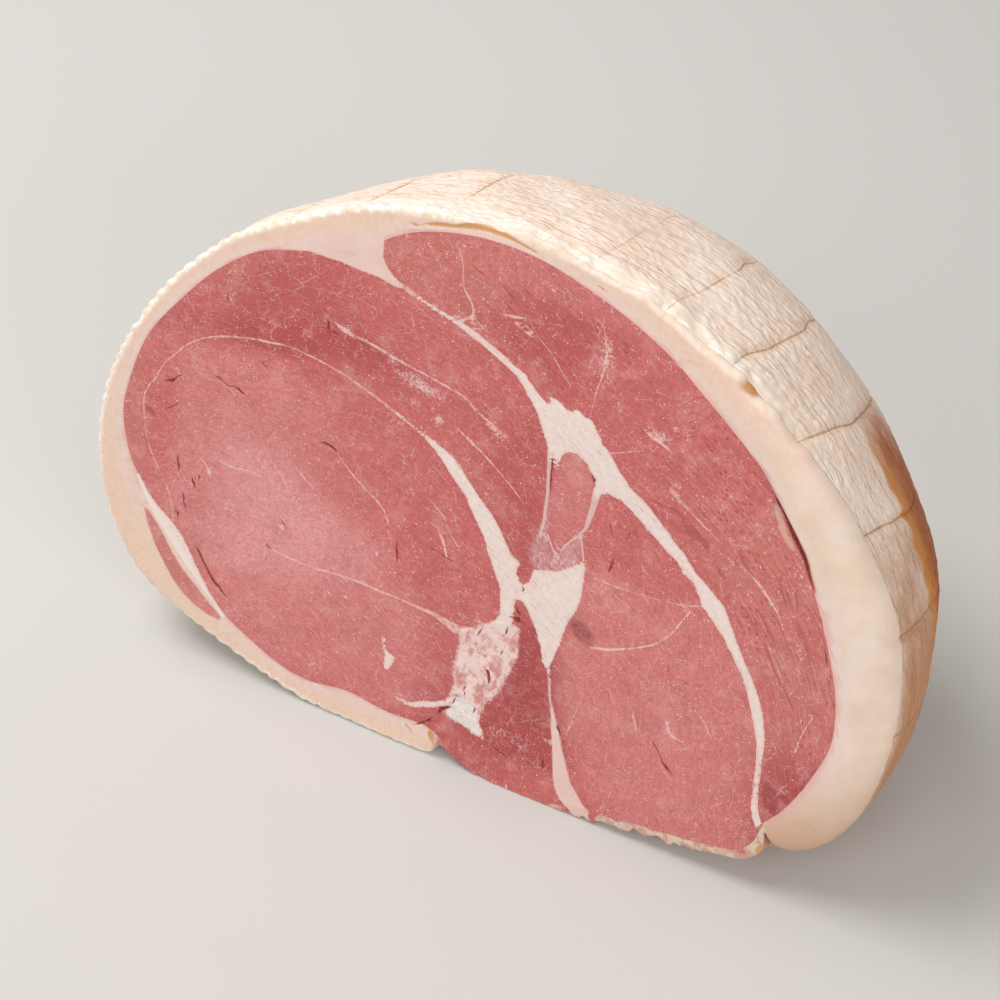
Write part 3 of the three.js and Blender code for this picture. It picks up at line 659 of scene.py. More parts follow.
    def settle(self, p, depth):
        """The points sunk where the belly rests, and none below the floor."""
        sag, sag_depth, sag_height = SETTLED
        lost = sag * smooth(0, sag_depth, depth)
        high = 1.35 * sag_height
        share = np.maximum(high - p[..., 2], 0) / (high - lost)
        p[..., 2] = np.maximum(p[..., 2] - lost * np.minimum(share, 1.2) ** 2, 0)
        return p


# Sampling of the skin: columns round it, and the rings of each stretch.
COLUMNS = 560
MEAT_STRETCHES = ((0.0, 0.125, 9, 8), (0.125, 0.25, 10, 4), (0.25, 0.5, 20, 2), (0.5, 1.0, 40, 1))
BAND_FLAT_RINGS = 8
BAND_ROUND_RINGS = 9
FRONT_DEPTH = 60.0
FRONT_RINGS = 94
BACK_RINGS = 22


def skin_rings(body):
    """Every ring from the middle of the face outwards and back to the pole.

    Each is a dict of arrays, one value for each of its columns: position, the place on the face,
    the length along the edge, the depth, and the share of the band.
    """
    rings = []

    def columns(n):
        return body.around * np.arange(n) / n

    def add(s, face, band, back=None, depth=None, point=None):
        none = np.zeros(len(s))
        rings.append({
            "s": s, "face": face, "band": band, "depth": none if depth is None else depth,
            "back": none if back is None else back, "point": point,
        })

    for low, high, count, reduce in MEAT_STRETCHES:
        s = columns(COLUMNS // reduce)
        _, inner, _ = body.at(s)
        for k in range(1 if low == 0 else 0, count):
            share = low + (high - low) * k / count
            add(s, MIDDLE + (inner - MIDDLE) * share, np.full(len(s), 2.0))
    s = columns(COLUMNS)
    outer, inner, rounding = body.at(s)
    width = np.hypot(*(inner - outer).T)
    for k in range(BAND_FLAT_RINGS):
        share = 1 - (1 - rounding) * k / BAND_FLAT_RINGS
        add(s, outer + (inner - outer) * share[:, None], share)
    radius = width * rounding
    for k in range(BAND_ROUND_RINGS + 1):
        angle = math.pi / 2 * k / BAND_ROUND_RINGS
        share = rounding * (1 - math.sin(angle))
        back = TURN_BACK * radius * (1 - math.cos(angle))
        add(s, outer + (inner - outer) * share[:, None], share, back)
    start = TURN_BACK * radius
    for k in range(1, FRONT_RINGS + 1):
        depth = start + (FRONT_DEPTH - start) * (k / FRONT_RINGS) ** 1.12
        add(s, outer, np.zeros(len(s)), depth=depth, point=body.dome(s, depth))
    s = columns(COLUMNS // 2)
    outer, _, _ = body.at(s)
    turn0 = math.asin(FRONT_DEPTH / body.depth)
    for k in range(1, BACK_RINGS):
        turn = turn0 + (math.pi / 2 - turn0) * k / BACK_RINGS
        depth = np.full(len(s), body.depth * math.sin(turn))
        add(s, outer, np.zeros(len(s)), depth=depth, point=body.dome(s, depth))
    return rings


def skin_faces(sizes):
    """Faces that join the rings, with a fan at the first vertex and one at the last."""
    starts = np.r_[1, 1 + np.cumsum(sizes)]
    last = starts[-1]
    quads, triangles = [], []
    c = np.arange(sizes[0])
    triangles.append(np.stack([np.zeros_like(c), 1 + (c + 1) % sizes[0], 1 + c], 1))
    for r in range(len(sizes) - 1):
        n, m = sizes[r], sizes[r + 1]
        a0, b0 = starts[r], starts[r + 1]
        if n == m:
            c = np.arange(n)
            d = (c + 1) % n
            quads.append(np.stack([a0 + c, a0 + d, b0 + d, b0 + c], 1))
        elif m == 2 * n:
            c = np.arange(n)
            p, q = a0 + c, a0 + (c + 1) % n
            a, b, e = b0 + 2 * c, b0 + 2 * c + 1, b0 + (2 * c + 2) % m
            triangles += [np.stack([p, b, a], 1), np.stack([p, q, b], 1), np.stack([q, e, b], 1)]
        else:
            c = np.arange(m)
            a, b, e = a0 + 2 * c, a0 + 2 * c + 1, a0 + (2 * c + 2) % n
            p, q = b0 + c, b0 + (c + 1) % m
            triangles += [np.stack([a, b, p], 1), np.stack([b, q, p], 1), np.stack([b, e, q], 1)]
    end = starts[-2]
    c = np.arange(sizes[-1])
    triangles.append(np.stack([end + c, end + (c + 1) % sizes[-1], np.full_like(c, last)], 1))
    return np.vstack(quads), np.vstack(triangles)


def closed_mesh(points, sizes):
    """The smooth mesh of the rings, with one vertex before the first ring and one after the last."""
    quads, triangles = skin_faces(sizes)
    mesh = bpy.data.meshes.new("ham")
    loops = np.concatenate([quads.ravel(), triangles.ravel()])
    counts = np.r_[np.full(len(quads), 4), np.full(len(triangles), 3)]
    mesh.vertices.add(len(points))
    mesh.vertices.foreach_set("co", points.ravel())
    mesh.loops.add(len(loops))
    mesh.loops.foreach_set("vertex_index", loops)
    mesh.polygons.add(len(counts))
    mesh.polygons.foreach_set("loop_start", np.r_[0, np.cumsum(counts)[:-1]])
    mesh.update(calc_edges=True)
    mesh.validate()
    mesh.polygons.foreach_set("use_smooth", np.ones(len(mesh.polygons), bool))
    return mesh


def face_marks(p):
    """What the face shows at each of its points, as named arrays, most of them depths in mm."""
    marks = {}
    fat = [polygon_depth(p, shape) for shape in (SEAM_MAIN, SEAM_INNER, SEAM_VEE)]
    fat = np.max([*fat, stroke_depth(p, STRIP_LEFT, STREAK_LOW, BLOT_LOW, BLOT_SIDE)], 0)
    dot = 2.3 * (ellipse_at(p, RED_DOT) - 0.37)
    marks["fat"] = np.where(dot > -0.35, np.minimum(fat, -dot), fat)
    marks["soft"] = np.maximum(polygon_depth(p, POCKET), stroke_depth(p, SEAM_LOW, SEAM_LOW_TWIG))
    marks["tissue"] = polygon_depth(p, TISSUE)
    marks["chalk"] = polygon_depth(p, CHALK)
    marks["film"] = stroke_depth(p, FILM_LEFT, FILM_RIGHT)
    marks["muscle"] = polygon_depth(p, SIDE_MUSCLE)
    kinds = {
        "vein": VEINS, "membrane": FILMS + FILM_EDGES, "crack": CRACKS, "stain": STAINS,
        "ochre": [CREVICE, *OCHRE_SPOTS], "flap": [GAP_FLAP],
    }
    for name, strokes in kinds.items():
        field = line_field(p, strokes, taper=0.5 if name in ("crack", "stain", "flap") else 0.0)
        marks[name] = field[:, 2]
        marks[name + "_side"] = field[:, 0]
        marks[name + "_half"] = field[:, 1]
    marks["dimple"] = ellipse_at(p, DIMPLE)
    marks["gland"] = 3.0 * (ellipse_at(p, GLAND) - 0.37)
    marks["cloud"] = np.clip(sum(c[5] * ellipse_at(p, c) for c in CLOUDS), 0, 1)
    return marks


def tone_of(p):
    """The muscles' colour at each point, with a painted sheen where the pale shade lies, as linear RGB: a
    weighted blend of the named shades.
    """
    weight = np.full(len(p), 0.02)
    total = np.outer(weight, srgb(MID))
    for spot in TONES:
        w = ellipse_at(p, spot) ** 1.3
        weight += w
        total += np.outer(w, srgb(spot[5]))
    return total / weight[:, None]


def flow_of(p):
    """Coordinates that follow the grain: along it and across it, in mm."""
    along_seam = catmull(GRAIN_LINE, np.linspace(0, 1, 110), closed=False)
    length = np.r_[0, np.cumsum(np.hypot(*np.diff(along_seam, axis=0).T))]
    best = np.full(len(p), np.inf)
    flow = np.zeros((len(p), 2))
    for k in range(len(along_seam) - 1):
        a, b = along_seam[k], along_seam[k + 1]
        d = b - a
        t = np.clip(((p - a) @ d) / (d @ d), 0, 1)
        off = p - a - t[:, None] * d
        gap = np.hypot(*off.T)
        closer = gap < best
        best[closer] = gap[closer]
        side = np.sign(d[0] * off[:, 1] - d[1] * off[:, 0])
        flow[closer, 0] = (length[k] + t * np.hypot(*d))[closer]
        flow[closer, 1] = (side * gap)[closer]
    return flow


def ham_mesh(body):
    """The mesh of the whole joint, with what the material needs stored on its vertices."""
    rings = skin_rings(body)
    sizes = [len(r["s"]) for r in rings]

    def gather(key):
        return np.concatenate([r[key] for r in rings])

    s, face, band, back, depth = (gather(k) for k in ("s", "face", "band", "back", "depth"))
    on_face = np.concatenate([np.full(n, r["point"] is None) for n, r in zip(sizes, rings)])
    on_dome = ~on_face
    marks = face_marks(face)
    marks["dimple"] = marks["dimple"] * bell(depth, 0, 2.5)
    outer, inner, rounding = body.at(s)
    meat = smooth(1.0, 1.02, band)

    # Relief of the face: open marks sink, fat seams stand a hair proud, the tissue is rough.
    crack = smooth(-0.15, 0.45, marks["crack"])
    lift = -0.9 * crack - 0.25 * smooth(-0.2, 0.5, marks["ochre"]) - 1.5 * marks["dimple"]
    lift += 0.12 * smooth(-0.4, 0.6, marks["fat"]) + 0.1 * smooth(-0.3, 0.3, marks["vein"])
    tissue = smooth(-0.5, 1.2, marks["tissue"])
    lift += tissue * (0.45 * cloudy(face[:, 0] * 0.55, face[:, 1] * 0.3, 61) - 0.15)
    lift += 0.1 * cloudy(face[:, 0] * 0.22, face[:, 1] * 0.22, 63)
    ripple = 0.35 * np.sin(face[:, 0] * 0.083 + 1) * np.cos(face[:, 1] * 0.071)
    lift += ripple * smooth(0, 30, np.hypot(*(face - inner).T)) * meat
    slit = SLIT[0] * bell(s, *SLIT[1:]) * bell(band, 1, 0.05)
    bead = 0.35 * np.sin(np.clip(band, 0, 1) * math.pi)
    bead = bead * between(235, 262, body.belly_from - 8, body.belly_from, s)
    lift += bead - slit * (band < 1.5)
    at_edge = 1 - smooth(0, 0.35, band)
    lift = np.where(band <= 1, lift * (1 - at_edge), lift)
    point = body.on_face(face, lift) + back[:, None] * body.axis
    edge_ring = on_face & (band <= 0.5)
    start = TURN_BACK * np.hypot(*(inner - outer).T) * rounding
    joined = body.dome(s, start) - body.on_face(outer, np.zeros(len(s))) - start[:, None] * body.axis
    point = point + joined * (at_edge * edge_ring)[:, None]
    point[:, 2] = np.maximum(point[:, 2], 0)
    dome = np.concatenate([r["point"] for r in rings if r["point"] is not None])
    point[on_dome] = dome
    pole = body.on_face(POLE, np.zeros(())) + body.depth * body.axis
    middle = body.on_face(MIDDLE, np.zeros(()))
    points = np.vstack([middle, point, pole]) * MM
    points += [
        0.5 * (CAD_LOW[0] + CAD_HIGH[0]) - 0.5 * (points[:, 0].min() + points[:, 0].max()), CAD_LOW[1], 0
    ]

    mesh = closed_mesh(points, sizes)

    def ends(values, first, final):
        return np.concatenate([[first], values, [final]]).astype(np.float32)

    def store(name, values, first=-3.0, final=-3.0):
        mesh.attributes.new(name, "FLOAT", "POINT").data.foreach_set("value", ends(values, first, final))

    for name, values in marks.items():
        outside = 0.0 if name in ("dimple", "cloud") else 3.0 if name.endswith("_side") else -3.0
        store(name, np.where(on_dome & (name != "dimple"), outside, values), outside, outside)
    store("band", np.where(on_dome, -0.2, band), 2.0, -0.2)
    band_mm = np.hypot(*(face - outer).T)
    store("inward", np.where(on_dome, -depth * 0.2, np.where(band > 1.5, 30.0, band_mm)), 30.0, -30.0)
    store("rind", body.rind_share(s, depth), 1.0, 1.0)
    bead_side = depth - np.interp(s, *BEAD_DEPTHS) - 0.5 * lattice(s * 0.22, 0 * s, 83)
    store("bead_side", bead_side, 30.0, 30.0)
    store("bead", between(236, 256, body.belly_from, body.belly_from + 4, s), 0.0, 0.0)
    store("bare", 1 - body.rind_share(s), 0.0, 0.0)
    white_edge = 1 - smooth(240, 262, s) + smooth(body.belly_to, body.belly_to + 6, s)
    store("white_edge", white_edge * (1 - 0.55 * between(150, 176, 240, 262, s)), 0.0, 0.0)
    store("cream", between(250, 290, body.belly_from, body.belly_from + 6, s), 0.0, 0.0)
    side, strength = body.string_mark(s, depth)
    store("string_side", np.where(on_dome, side, 3.0), 3.0, 3.0)
    store("string", strength * on_dome, 0.0, 0.0)
    ragged = depth + 1.2 * lattice(s * 0.2, depth * 0.2, 71)
    far_side = smooth(44, 64, depth + 4 * lattice(s * 0.06, depth * 0.08, 73))
    golden = smooth(26.5, 31, ragged) * np.sqrt(between(*GOLDEN, s) * (1 - far_side))
    store("golden", golden * on_dome, 0.0, 0.0)
    store("shoulder", between(*SHOULDER, s) * (1 - smooth(3, 10, depth)) * on_dome, 0.0, 0.0)
    store("depth", depth, 0.0, body.depth)

    def store_vector(name, values, first, final):
        data = np.vstack([first, values, final]).astype(np.float32)
        mesh.attributes.new(name, "FLOAT_VECTOR", "POINT").data.foreach_set("vector", data.ravel())

    tone = tone_of(face)
    store_vector("tone", tone, srgb(MID), srgb(MID))
    flow = flow_of(face)
    store_vector("flow", np.c_[flow, np.zeros(len(flow))], (0, 0, 0), (0, 0, 0))
    turn, radius = 2 * math.pi * s / body.around, body.around / (2 * math.pi)
    store_vector(
        "skin", np.c_[radius * np.cos(turn), radius * np.sin(turn), depth], (0, 0, 0), (0, 0, body.depth)
    )
    return mesh


class Tree:
    """A short way to write a material's nodes."""

    def __init__(self, material):
        material.use_nodes = True
        self.tree = material.node_tree
        self.tree.nodes.clear()

    def node(self, kind, **inputs):
        n = self.tree.nodes.new(kind)
        for name, value in inputs.items():
            self.put(n.inputs[name], value)
        return n

    def put(self, socket, value):
        if isinstance(value, bpy.types.NodeSocket):
            self.tree.links.new(value, socket)
        elif value is not None:
            socket.default_value = value

    def attr(self, name, out="Fac"):
        n = self.tree.nodes.new("ShaderNodeAttribute")
        n.attribute_name = name
        return n.outputs[out]

    def math(self, op, a, b=None):
        n = self.tree.nodes.new("ShaderNodeMath")
        n.operation = op
        self.put(n.inputs[0], a)
        self.put(n.inputs[1], b)
        return n.outputs[0]

    def add(self, a, b):
        return self.math("ADD", a, b)

    def mul(self, a, b):
        return self.math("MULTIPLY", a, b)

    def rest(self, x):
        """What x leaves of 1."""
        return self.math("SUBTRACT", 1.0, x)

    def centred(self, x):
        """A noise of 0..1 moved to -0.5..0.5."""
        return self.add(x, -0.5)

    def ramp(self, x, low, high, to_low=0.0, to_high=1.0, kind="SMOOTHSTEP"):
        n = self.tree.nodes.new("ShaderNodeMapRange")
        n.interpolation_type = kind
        for name, value in (
            ("Value", x), ("From Min", low), ("From Max", high), ("To Min", to_low), ("To Max", to_high)
        ):
            self.put(n.inputs[name], value)
        return n.outputs[0]

    def noise(self, vector, scale, detail=2.0, rough=0.5, distort=0.0):
        n = self.tree.nodes.new("ShaderNodeTexNoise")
        for name, value in (
            ("Vector", vector), ("Scale", scale), ("Detail", detail), ("Roughness", rough),
            ("Distortion", distort)
        ):
            self.put(n.inputs[name], value)
        return n.outputs["Fac"]

    def colour_noise(self, vector, scale):
        n = self.tree.nodes.new("ShaderNodeTexNoise")
        self.put(n.inputs["Vector"], vector)
        n.inputs["Scale"].default_value = scale
        n.inputs["Detail"].default_value = 0.0
        return n.outputs["Color"]

    def cells(self, vector, scale, feature="F1", flat=False):
        n = self.tree.nodes.new("ShaderNodeTexVoronoi")
        n.feature = feature
        n.voronoi_dimensions = "2D" if flat else "3D"
        self.put(n.inputs["Vector"], vector)
        self.put(n.inputs["Scale"], scale)
        return n

    def scaled(self, vector, scale, shift=(0, 0, 0)):
        n = self.tree.nodes.new("ShaderNodeVectorMath")
        n.operation = "MULTIPLY_ADD"
        self.put(n.inputs[0], vector)
        n.inputs[1].default_value = scale
        n.inputs[2].default_value = shift
        return n.outputs[0]

    def mix(self, fac, a, b):
        n = self.tree.nodes.new("ShaderNodeMix")
        n.data_type = "RGBA"
        self.put(n.inputs[0], fac)
        self.put(n.inputs[6], a)
        self.put(n.inputs[7], b)
        return n.outputs[2]

    def tint(self, base, hexa, mask, share=None):
        """The base turned towards a colour where the mask is, by no more than the share."""
        return self.mix(mask if share is None else self.mul(mask, share), base, rgba(hexa))

    def shades(self, x, low, high, first, second):
        """The first colour where x is low, the second where it is high, and a blend between."""
        return self.mix(self.ramp(x, low, high), rgba(first), rgba(second))

    def scale_colour(self, colour, factor):
        n = self.tree.nodes.new("ShaderNodeVectorMath")
        n.operation = "SCALE"
        self.put(n.inputs[0], colour)
        self.put(n.inputs["Scale"], factor)
        return n.outputs[0]

    def bump(self, height, distance, strength):
        n = self.tree.nodes.new("ShaderNodeBump")
        n.inputs["Strength"].default_value = strength
        n.inputs["Distance"].default_value = distance
        self.put(n.inputs["Height"], height)
        return n.outputs[0]

    def surface(self, colour, roughness, normal, subsurface, radius, specular):
        """The finished surface. Only colour, roughness and normal vary over it."""
        n = self.node("ShaderNodeBsdfPrincipled")
        self.put(n.inputs["Base Color"], colour)
        self.put(n.inputs["Roughness"], roughness)
        self.put(n.inputs["Normal"], normal)
        n.inputs["Subsurface Weight"].default_value = subsurface
        n.inputs["Subsurface Radius"].default_value = radius
        n.inputs["Subsurface Scale"].default_value = 1.0
        n.inputs["Specular IOR Level"].default_value = specular
        out = self.node("ShaderNodeOutputMaterial")
        self.tree.links.new(n.outputs[0], out.inputs["Surface"])


def millimetres(t):
    """Object coordinates in millimetres."""
    n = t.tree.nodes.new("ShaderNodeTexCoord")
    return t.scaled(n.outputs["Object"], (1000, 1000, 1000))


def face_material(look):
    """The cut face: meat, its fat and films, and the band of fat round it."""
    material = bpy.data.materials.new("cut_face")
    t = Tree(material)
    mm = millimetres(t)
    flow = t.attr("flow", "Vector")
    tone = t.attr("tone", "Vector")
    fine = t.noise(mm, 1.6, 4, 0.65)
    grain = t.noise(mm, 0.75, 3, 0.6)
    broad = t.noise(mm, 0.09, 3, 0.55)
    streaks = t.noise(t.scaled(flow, (0.16, 1.3, 1)), 1.0, 4, 0.62, 0.5)
    jitter = t.add(t.mul(t.centred(fine), 0.9), t.mul(t.centred(grain), 0.7))

    # Lean meat: the muscles' shade, with a painted sheen in the pale middle of the left muscle, mottled by
    # grain and fibres, with pale flecks that are partly painted glints, and fine pale lines.
    shade = t.add(t.ramp(grain, 0.3, 0.7, 0.88, 1.1, "LINEAR"), t.mul(t.centred(fine), 0.75))
    shade = t.mul(shade, t.ramp(broad, 0.3, 0.7, 0.96, 1.04, "LINEAR"))
    shade = t.mul(shade, t.ramp(streaks, 0.3, 0.7, 0.93, 1.07, "LINEAR"))
    lean = t.scale_colour(tone, shade)
    mottle = t.noise(mm, 0.12, 4, 0.7)
    lean = t.tint(lean, "dda09a", t.ramp(mottle, 0.52, 0.64), 0.26)
    lean = t.tint(lean, "b04b4a", t.ramp(mottle, 0.46, 0.34), 0.24)
    patches = t.noise(mm, 0.28, 3, 0.6)
    redder = t.ramp(patches, 0.5, 0.75)
    lean = t.mix(t.mul(redder, 0.3), lean, t.tint(lean, "b04c4c", 0.5))
    fibre = t.noise(t.scaled(flow, (0.22, 2.6, 1)), 1.0, 3, 0.6, 0.4)
    lean = t.tint(lean, "dca9a3", t.ramp(fibre, 0.58, 0.74), 0.26)
    lean = t.tint(lean, "a34a4a", t.ramp(fibre, 0.42, 0.28), 0.24)
    # Pale flecks, partly specks of fat and partly painted glints of light on the moist meat.
    for scale, size, strength, seed_shift in ((0.5, 0.19, 0.78, 0), (0.95, 0.26, 0.55, 40)):
        fleck_and_glint_cells = t.cells(t.scaled(flow, (1, 1, 1), (seed_shift, seed_shift, 0)), scale, flat=True)
        fleck_size = t.ramp(t.noise(mm, 0.4, 2, 0.5), 0.38, 0.72, 0.02, size)
        fleck_and_glint = t.rest(t.ramp(fleck_and_glint_cells.outputs["Distance"], 0.0, fleck_size))
        lean = t.tint(lean, "f5d8d2", t.mul(fleck_and_glint, strength))
    for scale, width, low, strength in (
        ((0.09, 0.26, 1), 0.035, 0.44, 0.42), ((0.24, 0.5, 1), 0.05, 0.47, 0.34)
    ):
        bend = t.node("ShaderNodeVectorMath")
        t.put(bend.inputs[0], t.scaled(flow, scale))
        t.put(bend.inputs[1], t.scaled(t.colour_noise(mm, 0.12), (0.6, 0.8, 0)))
        web = t.cells(bend.outputs[0], 1.0, "DISTANCE_TO_EDGE", flat=True)
        web_line = t.rest(t.ramp(web.outputs["Distance"], 0.0, width))
        web_mask = t.mul(web_line, t.ramp(patches, low, low + 0.14))
        lean = t.tint(lean, "e2b3ad", t.mul(web_mask, strength))
    pores = t.cells(t.scaled(flow, (0.6, 1.1, 1)), 0.45, flat=True)
    pore = t.mul(
        t.rest(t.ramp(pores.outputs["Distance"], 0.06, 0.2)),
        t.ramp(t.noise(mm, 0.09, 2, 0.5), 0.46, 0.6),
    )
    place = t.node("ShaderNodeSeparateXYZ", Vector=flow)
    outer_muscle = t.mul(t.ramp(place.outputs[1], 1, 5), t.ramp(place.outputs[0], 225, 260))
    lean = t.tint(lean, "96393a", t.mul(pore, t.ramp(outer_muscle, 0, 1, 0.28, 0.75)))
    strand = t.noise(t.scaled(flow, (0.07, 1.5, 1), (3, 5, 0)), 1.0, 3, 0.6)
    lean = t.tint(lean, "a04344", t.mul(outer_muscle, t.ramp(strand, 0.44, 0.32)), 0.55)
    lean = t.tint(lean, "dba7a1", t.mul(outer_muscle, t.ramp(strand, 0.58, 0.7)), 0.35)
    streak_light = t.mul(t.ramp(streaks, 0.58, 0.74), t.ramp(t.noise(mm, 0.07, 2, 0.5), 0.42, 0.6))
    lean = t.tint(lean, "d99f9a", streak_light, 0.3)
    scratch = t.add(t.mul(fine, 0.65), t.mul(fibre, 0.35))
    cloud = t.ramp(t.add(t.mul(t.attr("cloud"), 0.45), scratch), 0.62, 0.82)
    lean = t.tint(lean, "e6c3bd", t.mul(cloud, t.ramp(t.attr("cloud"), 0.03, 0.3)), 0.85)

    ragged = t.add(t.mul(jitter, 0.8), t.mul(t.centred(fibre), 1.5))

    def inside(name, soft=0.18, noisy=0.6):
        return t.ramp(t.add(t.attr(name), t.mul(ragged, noisy)), -soft, soft)

    def line(name, soft=0.1, noisy=0.3, reach=0.8):
        """1 within half a width of the line's middle. The second factor keeps it to its own line."""
        gap = t.math("ABSOLUTE", t.attr(name + "_side"))
        edge = t.add(t.math("SUBTRACT", t.attr(name + "_half"), gap), t.mul(jitter, noisy))
        return t.mul(t.ramp(edge, -soft, soft), t.ramp(t.attr(name), -reach - 0.4, -reach))

    broken = t.mul(
        t.ramp(grain, 0.32, 0.55, 0.3, 1.0), t.ramp(t.noise(mm, 0.17, 2, 0.5), 0.36, 0.56, 0.45, 1.0)
    )
    colour = t.tint(lean, "e8c2bb", t.mul(line("vein"), broken), 0.78)
    colour = t.tint(colour, "9a3f40", line("stain", 0.15, 0.4), 0.5)
    film_tone = t.shades(grain, 0.35, 0.65, "b4777a", "cf9f9d")
    film_tone = t.tint(film_tone, "d9b3b0", t.ramp(streaks, 0.4, 0.65, 0, 0.6))
    colour = t.mix(t.mul(inside("film", 0.7, 1.2), 0.62), colour, film_tone)
    strands = t.noise(t.scaled(mm, (1.5, 1.5, 0.25)), 1.0, 3, 0.6)
    colour = t.tint(colour, "e3c9c4", t.mul(inside("film", 0.5, 1.0), t.ramp(strands, 0.56, 0.66)), 0.7)
    colour = t.tint(colour, "dcb9b4", line("membrane", 0.15, 0.3), 0.85)
    soft_tone = t.shades(broad, 0.35, 0.65, "e3c3bb", "e6cdc4")
    soft_tone = t.tint(soft_tone, "d99c96", t.ramp(fine, 0.45, 0.8, 0.0, 0.35))
    colour = t.mix(t.mul(inside("soft", 0.3, 0.5), 0.92), colour, soft_tone)
    rough_tissue = t.noise(t.scaled(mm, (1.0, 1.0, 0.6)), 0.3, 4, 0.7)
    tissue_tone = t.shades(rough_tissue, 0.38, 0.56, "cd8a85", "e9cdc6")
    tissue_tone = t.tint(tissue_tone, "f1dfd9", t.ramp(fine, 0.5, 0.75, 0, 0.35))
    colour = t.mix(inside("tissue", 0.5, 1.6), colour, tissue_tone)
    fat_tone = t.shades(grain, 0.35, 0.7, "e2cec6", "e8d9d2")
    blush_streak = t.mul(t.ramp(streaks, 0.52, 0.68), t.ramp(patches, 0.42, 0.6))
    fat_tone = t.tint(fat_tone, "db9c94", blush_streak, 0.7)
    fat_tone = t.tint(fat_tone, "f4ebe6", t.ramp(fibre, 0.55, 0.7), 0.5)
    fat_tone = t.tint(fat_tone, "dfa79e", t.rest(t.ramp(t.attr("fat"), 0.1, 1.1)), 0.3)
    colour = t.mix(inside("fat", 0.16, 0.85), colour, fat_tone)
    colour = t.mix(inside("chalk", 0.3, 0.7), colour, t.shades(fine, 0.35, 0.65, "d9cbc4", "efe4de"))
    gland_tone = t.shades(grain, 0.35, 0.7, "8f4144", "b0625f")
    colour = t.mix(t.mul(inside("gland", 0.7, 1.3), 0.85), colour, gland_tone)

    # The band: a white skin edge, peach fat, pinker fat next to the meat.
    inward = t.attr("inward")
    band = t.attr("band")
    wander = t.add(band, t.mul(t.centred(t.noise(mm, 0.16, 3, 0.6)), 0.34))
    peach = t.shades(wander, 0.3, 0.85, "e2c2ad", "e1c5bb")
    peach = t.tint(peach, "efdccc", t.ramp(grain, 0.3, 0.7, 0.0, 0.3))
    peach = t.tint(peach, "dfb08c", t.ramp(patches, 0.56, 0.72), 0.4)
    cream = t.shades(broad, 0.35, 0.65, "dfc6b1", "e5d1c2")
    cream = t.tint(cream, "e3cdc4", t.ramp(wander, 0.55, 0.95))
    high = t.node("ShaderNodeSeparateXYZ", Vector=mm)
    # Painted shade and painted warm bounce light: the cream fat turns darker and browner towards the
    # floor.
    painted_low_shade = t.ramp(high.outputs[2], 58, 8)
    cream = t.tint(cream, "bd9071", painted_low_shade, 0.85)
    cream = t.tint(cream, "e9dccf", t.ramp(grain, 0.6, 0.72), 0.35)
    peach = t.mix(t.attr("cream"), peach, cream)
    edge_white = t.rest(t.ramp(t.add(inward, t.mul(jitter, 1.8)), 0.7, 1.9))
    edge_tone = t.shades(t.noise(mm, 0.5, 3, 0.6), 0.4, 0.65, "f2eae1", "e6cfb6")
    peach = t.mix(t.mul(edge_white, t.attr("white_edge")), peach, edge_tone)
    blush = t.mul(t.ramp(t.add(wander, t.mul(t.centred(streaks), 0.4)), 0.82, 1.02), 0.6)
    peach = t.tint(peach, "dc9f97", blush)
    shreds = t.shades(t.noise(mm, 0.35, 4, 0.65), 0.42, 0.6, "c4978a", "d6bfab")
    shred_share = t.add(
        t.noise(mm, 0.16, 4, 0.6), t.ramp(high.outputs[0], 10, 75, -0.16, 0.12, "LINEAR")
    )
    belly = t.mix(
        t.ramp(t.add(shred_share, t.ramp(band, 0.9, 0.1, -0.1, 0.1, "LINEAR")), 0.45, 0.56), lean, shreds
    )
    peach = t.mix(t.attr("bare"), peach, belly)
    in_band = t.rest(t.ramp(t.add(band, t.mul(jitter, 0.05)), 0.985, 1.02))
    colour = t.mix(in_band, colour, peach)
    side = t.mul(inside("muscle", 0.4, 0.8), in_band)
    colour = t.mix(t.mul(side, 0.93), colour, lean)
    in_band_fat = t.mul(t.mul(inside("fat", 0.25, 0.4), in_band), 0.8)
    colour = t.tint(colour, "ecdfd6", in_band_fat)
    colour = t.mix(t.mul(inside("soft", 0.3, 0.5), t.mul(in_band, 0.8)), colour, soft_tone)
    colour = t.tint(colour, "bd8040", t.ramp(t.attr("dimple"), 0.08, 0.6, 0, 0.9))
    colour = t.tint(colour, "c98f52", line("ochre", 0.25, 0.5), 0.85)
    colour = t.tint(colour, "cfa792", line("flap", 0.2, 0.4), 0.8)
    open_crack = line("crack", 0.1, 0.25)
    colour = t.mix(t.mul(open_crack, 0.95), colour, t.shades(grain, 0.4, 0.6, "7a2019", "a03c34"))

    pale = t.math("MAXIMUM", inside("fat"), in_band)
    roughness = t.add(
        t.ramp(pale, 0, 1, look.meat_roughness, look.fat_roughness, "LINEAR"),
        t.mul(t.centred(fine), 0.25),
    )
    height = t.add(t.mul(fine, 0.5), t.mul(grain, 0.4))
    smooth_fat = t.math("MAXIMUM", t.ramp(t.attr("fat"), -0.2, 0.2), t.ramp(band, 1.02, 0.98))
    height = t.mul(height, t.ramp(smooth_fat, 0, 1, 1.0, 0.25, "LINEAR"))
    height = t.add(height, t.mul(t.mul(t.ramp(t.attr("tissue"), -0.4, 1.0), rough_tissue), 2.5))
    normal = t.bump(height, 0.00035, 0.7)
    t.surface(colour, roughness, normal, look.subsurface, look.subsurface_radius, 0.42)
    return material


